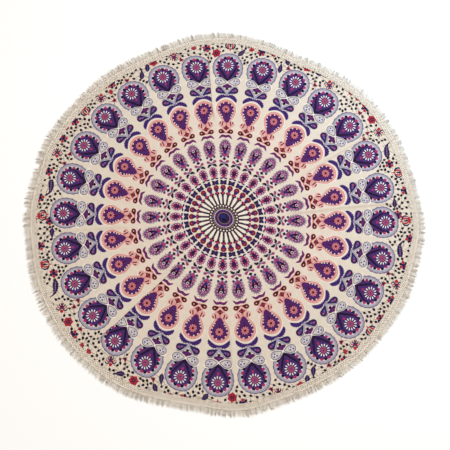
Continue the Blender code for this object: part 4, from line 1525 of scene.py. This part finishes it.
class NodeGrowth:
    """A Geometry Nodes tree that sets small shapes along a closed line of edges."""

    def __init__(self, name, sizes):
        """The tree with its named inputs, its evenly spaced points and the turn at each."""
        self.tree = bpy.data.node_groups.new(name, "GeometryNodeTree")
        self.tree.is_modifier = True
        face = self.tree.interface
        face.new_socket("Geometry", in_out="INPUT", socket_type="NodeSocketGeometry")
        for label, value in sizes.items():
            socket = face.new_socket(label, in_out="INPUT", socket_type="NodeSocketFloat")
            socket.default_value = value
        face.new_socket("Geometry", in_out="OUTPUT", socket_type="NodeSocketGeometry")
        self.sizes = sizes
        self.given = self.node("NodeGroupInput")
        self.curve = self.node("GeometryNodeMeshToCurve")
        self.spaced = self.node("GeometryNodeResampleCurve")
        self.spaced.mode = "LENGTH"
        self.link(self.given.outputs["Geometry"], self.curve.inputs["Mesh"])
        self.link(self.curve.outputs["Curve"], self.spaced.inputs["Curve"])
        self.link(self.given.outputs["Pitch"], self.spaced.inputs["Length"])
        tangent = self.node("GeometryNodeInputTangent")
        self.facing = self.node("FunctionNodeAlignRotationToVector")
        self.facing.axis = "X"
        self.facing.pivot_axis = "Z"
        self.link(tangent.outputs["Tangent"], self.facing.inputs["Vector"])

    def node(self, kind):
        """A new node of the tree."""
        return self.tree.nodes.new(kind)

    def link(self, start, end):
        """A link from an output to an input."""
        self.tree.links.new(start, end)

    def random(self, kind, low, high, seed):
        """A Random Value node; its seed is fixed."""
        node = self.node("FunctionNodeRandomValue")
        node.data_type = kind
        low_input, high_input = {"FLOAT": (2, 3), "INT": (4, 5)}[kind]
        node.inputs[low_input].default_value = low
        node.inputs[high_input].default_value = high
        node.inputs["Seed"].default_value = seed
        return next(output for output in node.outputs if output.enabled)

    def instances(self, shapes, rotation, scale=None, seed=0):
        """Instance on Points, with one shape or a pick from several."""
        setter = self.node("GeometryNodeInstanceOnPoints")
        if len(shapes) == 1:
            source = self.node("GeometryNodeObjectInfo")
            source.inputs["Object"].default_value = shapes[0]
            self.link(source.outputs["Geometry"], setter.inputs["Instance"])
        else:
            joined = self.node("GeometryNodeGeometryToInstance")
            for shape in shapes:
                source = self.node("GeometryNodeObjectInfo")
                source.inputs["Object"].default_value = shape
                self.link(source.outputs["Geometry"], joined.inputs["Geometry"])
            self.link(joined.outputs["Instances"], setter.inputs["Instance"])
            setter.inputs["Pick Instance"].default_value = True
            self.link(self.random("INT", 0, len(shapes) - 1, seed), setter.inputs["Instance Index"])
        self.link(self.spaced.outputs["Curve"], setter.inputs["Points"])
        self.link(rotation, setter.inputs["Rotation"])
        if scale is not None:
            self.link(scale, setter.inputs["Scale"])
        return setter.outputs["Instances"]

    def finished(self, instances, material, pucker=0.0):
        """Real geometry at the end, pushed about a little by smooth noise, with its material."""
        realized = self.node("GeometryNodeRealizeInstances")
        self.link(instances, realized.inputs["Geometry"])
        last = realized.outputs["Geometry"]
        if pucker:
            noise = self.node("ShaderNodeTexNoise")
            noise.inputs["Scale"].default_value = PUCKER_NOISE_SCALE
            noise.inputs["Detail"].default_value = 1.0
            level = self.node("ShaderNodeVectorMath")
            level.operation = "SUBTRACT"
            level.inputs[1].default_value = (0.5, 0.5, 0.5)
            amount = self.node("ShaderNodeVectorMath")
            amount.operation = "MULTIPLY"
            amount.inputs[1].default_value = (2.0 * pucker, 2.0 * pucker, 0.0)
            moved = self.node("GeometryNodeSetPosition")
            self.link(noise.outputs["Color"], level.inputs[0])
            self.link(level.outputs["Vector"], amount.inputs[0])
            self.link(amount.outputs["Vector"], moved.inputs["Offset"])
            self.link(last, moved.inputs["Geometry"])
            last = moved.outputs["Geometry"]
        painted = self.node("GeometryNodeSetMaterial")
        painted.inputs["Material"].default_value = material
        self.link(last, painted.inputs["Geometry"])
        self.link(painted.outputs["Geometry"], self.node("NodeGroupOutput").inputs["Geometry"])

    def grown(self, name, path, shapes):
        """The plain mesh that the tree grows along the path; its helpers are removed."""
        bpy.context.scene.collection.objects.link(path)
        grower = path.modifiers.new("growth", "NODES")
        grower.node_group = self.tree
        for item in self.tree.interface.items_tree:
            if item.name in self.sizes:
                grower[item.identifier] = self.sizes[item.name]
        seen = path.evaluated_get(bpy.context.evaluated_depsgraph_get())
        mesh = bpy.data.meshes.new_from_object(seen)
        mesh.name = name
        path.modifiers.remove(grower)
        for helper in [path, *shapes]:
            bpy.data.objects.remove(helper)
        piece = bpy.data.objects.new(name, mesh)
        bpy.context.scene.collection.objects.link(piece)
        return piece


def even_pitch(offset, pitch):
    """The pitch nearest to the wanted one that divides the line along the hem evenly."""
    line = rim(-offset)
    around_it = np.sum(np.linalg.norm(np.roll(line, -1, axis=0) - line, axis=1))
    return float(around_it / round(around_it / pitch))


def lace_tape(material):
    """The crocheted tape: a diamond net between corded edges."""
    cell = net_cell()
    growth = NodeGrowth("tape_growth", {"Pitch": even_pitch(0.0, TAPE_PITCH)})
    growth.finished(growth.instances([cell], growth.facing.outputs["Rotation"]), material, TAPE_PUCKER)
    return growth.grown("lace_tape", hem_path("tape_path", 0.0), [cell])


def yarn_fringe(material):
    """The fringe: locks of yarn of uneven length that lean this way and that."""
    rng = random.Random(FRINGE_SEED)
    shapes = [lock_shape(index, rng) for index in range(len(LOCK_SHADES))]
    growth = NodeGrowth("fringe_growth", {"Pitch": even_pitch(TAPE_REACH, LOCK_PITCH)})
    lean = growth.node("FunctionNodeAxisAngleToRotation")
    lean.inputs["Axis"].default_value = (0.0, 0.0, 1.0)
    growth.link(growth.random("FLOAT", -LOCK_LEAN, LOCK_LEAN, 2), lean.inputs["Angle"])
    turned = growth.node("FunctionNodeRotateRotation")
    turned.rotation_space = "LOCAL"
    growth.link(growth.facing.outputs["Rotation"], turned.inputs["Rotation"])
    growth.link(lean.outputs["Rotation"], turned.inputs["Rotate By"])
    stored = growth.node("GeometryNodeInputNamedAttribute")
    stored.data_type = "FLOAT"
    stored.inputs["Name"].default_value = "fringe_length"
    length = growth.node("ShaderNodeMath")
    length.operation = "DIVIDE"
    length.inputs[1].default_value = LOCK_LENGTH
    growth.link(stored.outputs["Attribute"], length.inputs[0])
    uneven = growth.node("ShaderNodeMath")
    uneven.operation = "MULTIPLY"
    growth.link(length.outputs["Value"], uneven.inputs[0])
    growth.link(growth.random("FLOAT", LOCK_SHORTEST, LOCK_LONGEST, 4), uneven.inputs[1])
    scale = growth.node("ShaderNodeCombineXYZ")
    scale.inputs["X"].default_value = 1.0
    scale.inputs["Z"].default_value = 1.0
    growth.link(uneven.outputs["Value"], scale.inputs["Y"])
    locks = growth.instances(shapes, turned.outputs["Rotation"], scale.outputs["Vector"], seed=9)
    growth.finished(locks, material)
    return growth.grown("yarn_fringe", hem_path("fringe_path", TAPE_REACH), shapes)


def tape_stitches(material):
    """The row of stitches that holds the tape to the hem."""
    stitch = stitch_shape()
    growth = NodeGrowth("stitch_growth", {"Pitch": even_pitch(STITCH_LINE, STITCH_PITCH)})
    growth.finished(growth.instances([stitch], growth.facing.outputs["Rotation"]), material)
    piece = growth.grown("tape_stitches", hem_path("stitch_path", STITCH_LINE), [stitch])
    piece.data.transform(Matrix.Translation((0.0, 0.0, TAPE_OVER_HEM + STITCH_ON_TAPE)))
    return piece


# ---------------------------------------------------------------- finishes


def noise_node(nodes, link, place, scale, detail):
    """A Noise Texture node of a given scale; its value."""
    node = nodes.new("ShaderNodeTexNoise")
    node.inputs["Scale"].default_value = scale
    node.inputs["Detail"].default_value = detail
    link(place, node.inputs["Vector"])
    return node.outputs["Fac"]


def math_node(nodes, operation, link, first, second):
    """A Math node of a linked value and a plain number or another linked value."""
    node = nodes.new("ShaderNodeMath")
    node.operation = operation
    link(first, node.inputs[0])
    if isinstance(second, float):
        node.inputs[1].default_value = second
    else:
        link(second, node.inputs[1])
    return node.outputs["Value"]


def range_node(nodes, link, value, low, high, to_low=0.0, to_high=1.0, kind="LINEAR"):
    """A clamped Map Range node: `low` to `high` become `to_low` to `to_high`."""
    node = nodes.new("ShaderNodeMapRange")
    node.interpolation_type = kind
    node.inputs["From Min"].default_value = low
    node.inputs["From Max"].default_value = high
    node.inputs["To Min"].default_value = to_low
    node.inputs["To Max"].default_value = to_high
    link(value, node.inputs["Value"])
    return node.outputs["Result"]


def mix_node(nodes, link, blend, share, first, second):
    """A colour Mix node; its share and its colours are plain values or linked sockets."""
    node = nodes.new("ShaderNodeMix")
    node.data_type = "RGBA"
    node.blend_type = blend
    for name, value in (("Factor_Float", share), ("A_Color", first), ("B_Color", second)):
        socket = next(entry for entry in node.inputs if entry.identifier == name)
        if isinstance(value, (float, tuple)):
            socket.default_value = value
        else:
            link(value, socket)
    return next(entry for entry in node.outputs if entry.identifier == "Result_Color")


def bump_node(nodes, link, height, strength, distance):
    """A Bump node of a linked height."""
    node = nodes.new("ShaderNodeBump")
    node.inputs["Strength"].default_value = strength
    node.inputs["Distance"].default_value = distance
    link(height, node.inputs["Height"])
    return node


def matt_finish(name, roughness, shine):
    """A new material with its nodes, its linker and its plain shader."""
    material = bpy.data.materials.new(name)
    material.use_nodes = True
    shader = material.node_tree.nodes["Principled BSDF"]
    shader.inputs["Roughness"].default_value = roughness
    shader.inputs["Specular IOR Level"].default_value = shine
    return material, material.node_tree.nodes, material.node_tree.links.new, shader


# The trim's cotton: its two tones, how dark its knots' painted shadow and its mottling are, and its noise
# scales; the knot figures also darken some locks of the fringe
LACE_LIGHT = (0.97, 0.885, 0.780, 1.0)
LACE_DARK = (0.37, 0.255, 0.165, 1.0)
LACE_KNOT_SHARPNESS = 3.0
LACE_KNOT_SHADE = 0.60
LACE_MOTTLE = 0.36
LACE_MOTTLE_SCALE = 140.0
LACE_YARN_SCALE = 1400.0


def lace_cotton():
    """Off-white crochet cotton: mottled, with painted shadow at the net's knots, darker in some locks, with
    spun yarn bump.
    """
    material, nodes, link, shader = matt_finish("lace_cotton", 0.95, 0.2)
    place = nodes.new("ShaderNodeTexCoord").outputs["Object"]
    shade = nodes.new("ShaderNodeAttribute")
    shade.attribute_name = "shade"
    # Painted shadow at the net's knots; in the fringe the same attribute carries each lock's own tone
    knot_shadow_and_lock_tone = math_node(nodes, "POWER", link, shade.outputs["Fac"], LACE_KNOT_SHARPNESS)
    knot_shadow_and_lock_tone = math_node(nodes, "MULTIPLY", link, knot_shadow_and_lock_tone, LACE_KNOT_SHADE)
    mottle = noise_node(nodes, link, place, LACE_MOTTLE_SCALE, 1.0)
    patch = range_node(nodes, link, mottle, 0.50, 0.66, to_high=LACE_MOTTLE)
    dark = math_node(nodes, "ADD", link, knot_shadow_and_lock_tone, patch)
    link(mix_node(nodes, link, "MIX", dark, LACE_LIGHT, LACE_DARK), shader.inputs["Base Color"])
    yarn = noise_node(nodes, link, place, LACE_YARN_SCALE, 1.0)
    link(bump_node(nodes, link, yarn, 0.5, 0.0003).outputs["Normal"], shader.inputs["Normal"])
    return material


# Uneven ink: where it is thin the cotton shows, and patches of the block printed lighter or darker
INK_SCALE = 210.0
INK_WEAR = 0.08
WORN_INK = (0.62, 0.52, 0.42, 1.0)
PATCH_SCALE = 46.0
PATCH_DARKEST = 0.955
PATCH_LIGHTEST = 1.035

# Slow changes of the cotton's tone with the distance from the print's centre, in metres
OUTER_TINT = (0.982, 0.986, 0.990, 1.0)
OUTER_TINT_START = 0.44
OUTER_TINT_END = 0.58
MIDDLE_TINT = (1.0, 0.98, 0.985, 1.0)
MIDDLE_TINT_RADIUS = 0.34
MIDDLE_TINT_REACH = 0.16

WEAVE_PITCH = 0.0007
WRINKLE_SCALE = 15.0


def dyed_colour(nodes, link, cut):
    """The print's dyes with worn ink, printed patches and the cotton's slow tints."""
    dye = nodes.new("ShaderNodeAttribute")
    dye.attribute_name = "dye"
    ink = noise_node(nodes, link, cut, INK_SCALE, 2.0)
    worn = range_node(nodes, link, ink, 0.52, 0.85, to_high=INK_WEAR)
    colour = mix_node(nodes, link, "MIX", worn, dye.outputs["Color"], WORN_INK)
    patches = noise_node(nodes, link, cut, PATCH_SCALE, 3.0)
    tone = range_node(nodes, link, patches, 0.30, 0.70, PATCH_DARKEST, PATCH_LIGHTEST)
    colour = mix_node(nodes, link, "MULTIPLY", 1.0, colour, tone)

    centre = nodes.new("ShaderNodeVectorMath")
    centre.operation = "LENGTH"
    link(cut, centre.inputs[0])
    distance = centre.outputs["Value"]
    outer = range_node(nodes, link, distance, OUTER_TINT_START, OUTER_TINT_END, kind="SMOOTHSTEP")
    colour = mix_node(nodes, link, "MULTIPLY", outer, colour, OUTER_TINT)
    ring = nodes.new("ShaderNodeMath")
    ring.operation = "COMPARE"
    ring.inputs[1].default_value = MIDDLE_TINT_RADIUS
    ring.inputs[2].default_value = MIDDLE_TINT_REACH
    link(distance, ring.inputs[0])
    return mix_node(nodes, link, "MULTIPLY", ring.outputs["Value"], colour, MIDDLE_TINT)


def woven_normal(nodes, link, cut):
    """The plain weave's crossed threads, with soft wrinkles over them."""
    threads = []
    for turn in (0.0, 0.5 * math.pi):
        turned = nodes.new("ShaderNodeMapping")
        turned.inputs["Rotation"].default_value = (0.0, 0.0, turn)
        link(cut, turned.inputs["Vector"])
        wave = nodes.new("ShaderNodeTexWave")
        wave.inputs["Scale"].default_value = math.pi / (10.0 * WEAVE_PITCH)
        wave.inputs["Distortion"].default_value = 0.6
        link(turned.outputs["Vector"], wave.inputs["Vector"])
        threads.append(wave.outputs["Fac"])
    weave = bump_node(nodes, link, math_node(nodes, "ADD", link, *threads), 0.35, 0.00012)
    wrinkles = bump_node(nodes, link, noise_node(nodes, link, cut, WRINKLE_SCALE, 3.0), 0.8, 0.004)
    link(weave.outputs["Normal"], wrinkles.inputs["Normal"])
    return wrinkles.outputs["Normal"]


def printed_cotton():
    """Matt plain-weave cotton: block-printed dyes with uneven ink, weave and soft wrinkles."""
    material, nodes, link, shader = matt_finish("printed_cotton", 0.92, 0.08)
    cut_map = nodes.new("ShaderNodeUVMap")
    cut_map.uv_map = "cut_shape"
    cut = cut_map.outputs["UV"]
    link(dyed_colour(nodes, link, cut), shader.inputs["Base Color"])
    link(woven_normal(nodes, link, cut), shader.inputs["Normal"])
    return material


# ---------------------------------------------------------------- camera, floor and light

CAMERA_AIM = Vector((0.0024, -0.0420, 0.0))
CAMERA_ELEVATION = 80.80
CAMERA_DISTANCE = 2.932
CAMERA_ROLL = 2.36
CAMERA_FOCAL_MM = 51.37
SENSOR_MM = 36.0

FLOOR_HALF = 6.0
FLOOR_HEIGHT = -0.0003
FLOOR_TONE = (0.96, 0.96, 0.96, 1.0)
SURROUND_TONE = (1.0, 0.955, 0.89, 1.0)
SURROUND_STRENGTH = 0.98
LAMP_PLACE = Vector((1.15, 1.05, 1.3))
LAMP_TONE = (0.55, 0.78, 1.0)
LAMP_WATTS = 20.0
LAMP_SIZE = 1.0


def add_camera():
    """The camera of the photograph: almost straight above, rolled a little."""
    tilt = math.radians(CAMERA_ELEVATION)
    roll = math.radians(CAMERA_ROLL)
    forward = Vector((0.0, math.cos(tilt), -math.sin(tilt)))
    level_up = Vector((0.0, math.sin(tilt), math.cos(tilt)))
    level_right = Vector((1.0, 0.0, 0.0))
    right = math.cos(roll) * level_right + math.sin(roll) * level_up
    up = math.cos(roll) * level_up - math.sin(roll) * level_right
    data = bpy.data.cameras.new("camera")
    data.lens = CAMERA_FOCAL_MM
    data.sensor_width = SENSOR_MM
    camera = bpy.data.objects.new("camera", data)
    turned = Matrix((right, up, -forward)).transposed().to_4x4()
    camera.matrix_world = Matrix.Translation(CAMERA_AIM - forward * CAMERA_DISTANCE) @ turned
    bpy.context.scene.collection.objects.link(camera)
    bpy.context.scene.camera = camera


def add_floor():
    """A plain pale floor."""
    corners = [(x * FLOOR_HALF, y * FLOOR_HALF, FLOOR_HEIGHT)
               for x, y in ((-1, -1), (1, -1), (1, 1), (-1, 1))]
    mesh = bpy.data.meshes.new("floor")
    mesh.from_pydata(corners, [], [(0, 1, 2, 3)])
    floor = bpy.data.objects.new("floor", mesh)
    bpy.context.scene.collection.objects.link(floor)
    material = bpy.data.materials.new("pale_floor")
    material.use_nodes = True
    shader = material.node_tree.nodes["Principled BSDF"]
    shader.inputs["Base Color"].default_value = FLOOR_TONE
    shader.inputs["Roughness"].default_value = 0.9
    mesh.materials.append(material)


def add_lights():
    """Soft studio light: a pale surround and one broad lamp from the upper right."""
    world = bpy.data.worlds.new("surround")
    world.use_nodes = True
    background = world.node_tree.nodes["Background"]
    background.inputs["Color"].default_value = SURROUND_TONE
    background.inputs["Strength"].default_value = SURROUND_STRENGTH
    bpy.context.scene.world = world
    light = bpy.data.lights.new("soft_lamp", "AREA")
    light.energy = LAMP_WATTS
    light.size = LAMP_SIZE
    light.color = LAMP_TONE
    lamp = bpy.data.objects.new("soft_lamp", light)
    lamp.location = LAMP_PLACE
    lamp.rotation_euler = (-LAMP_PLACE).to_track_quat("-Z", "Y").to_euler()
    bpy.context.scene.collection.objects.link(lamp)
    bpy.context.scene.view_settings.view_transform = "Standard"


def main():
    """The stage, the four pieces with what they ride on and replace."""
    add_camera()
    add_floor()
    add_lights()
    towel = printed_towel()
    towel.data.materials.append(printed_cotton())
    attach(towel, "root")
    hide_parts("printed_cloth")
    lace = lace_cotton()
    trims = [lace_tape(lace), yarn_fringe(lace), tape_stitches(lace)]
    for trim in trims:
        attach(trim, "root")
        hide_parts("fringed_trim")
    outline = rim(0.0)


main()
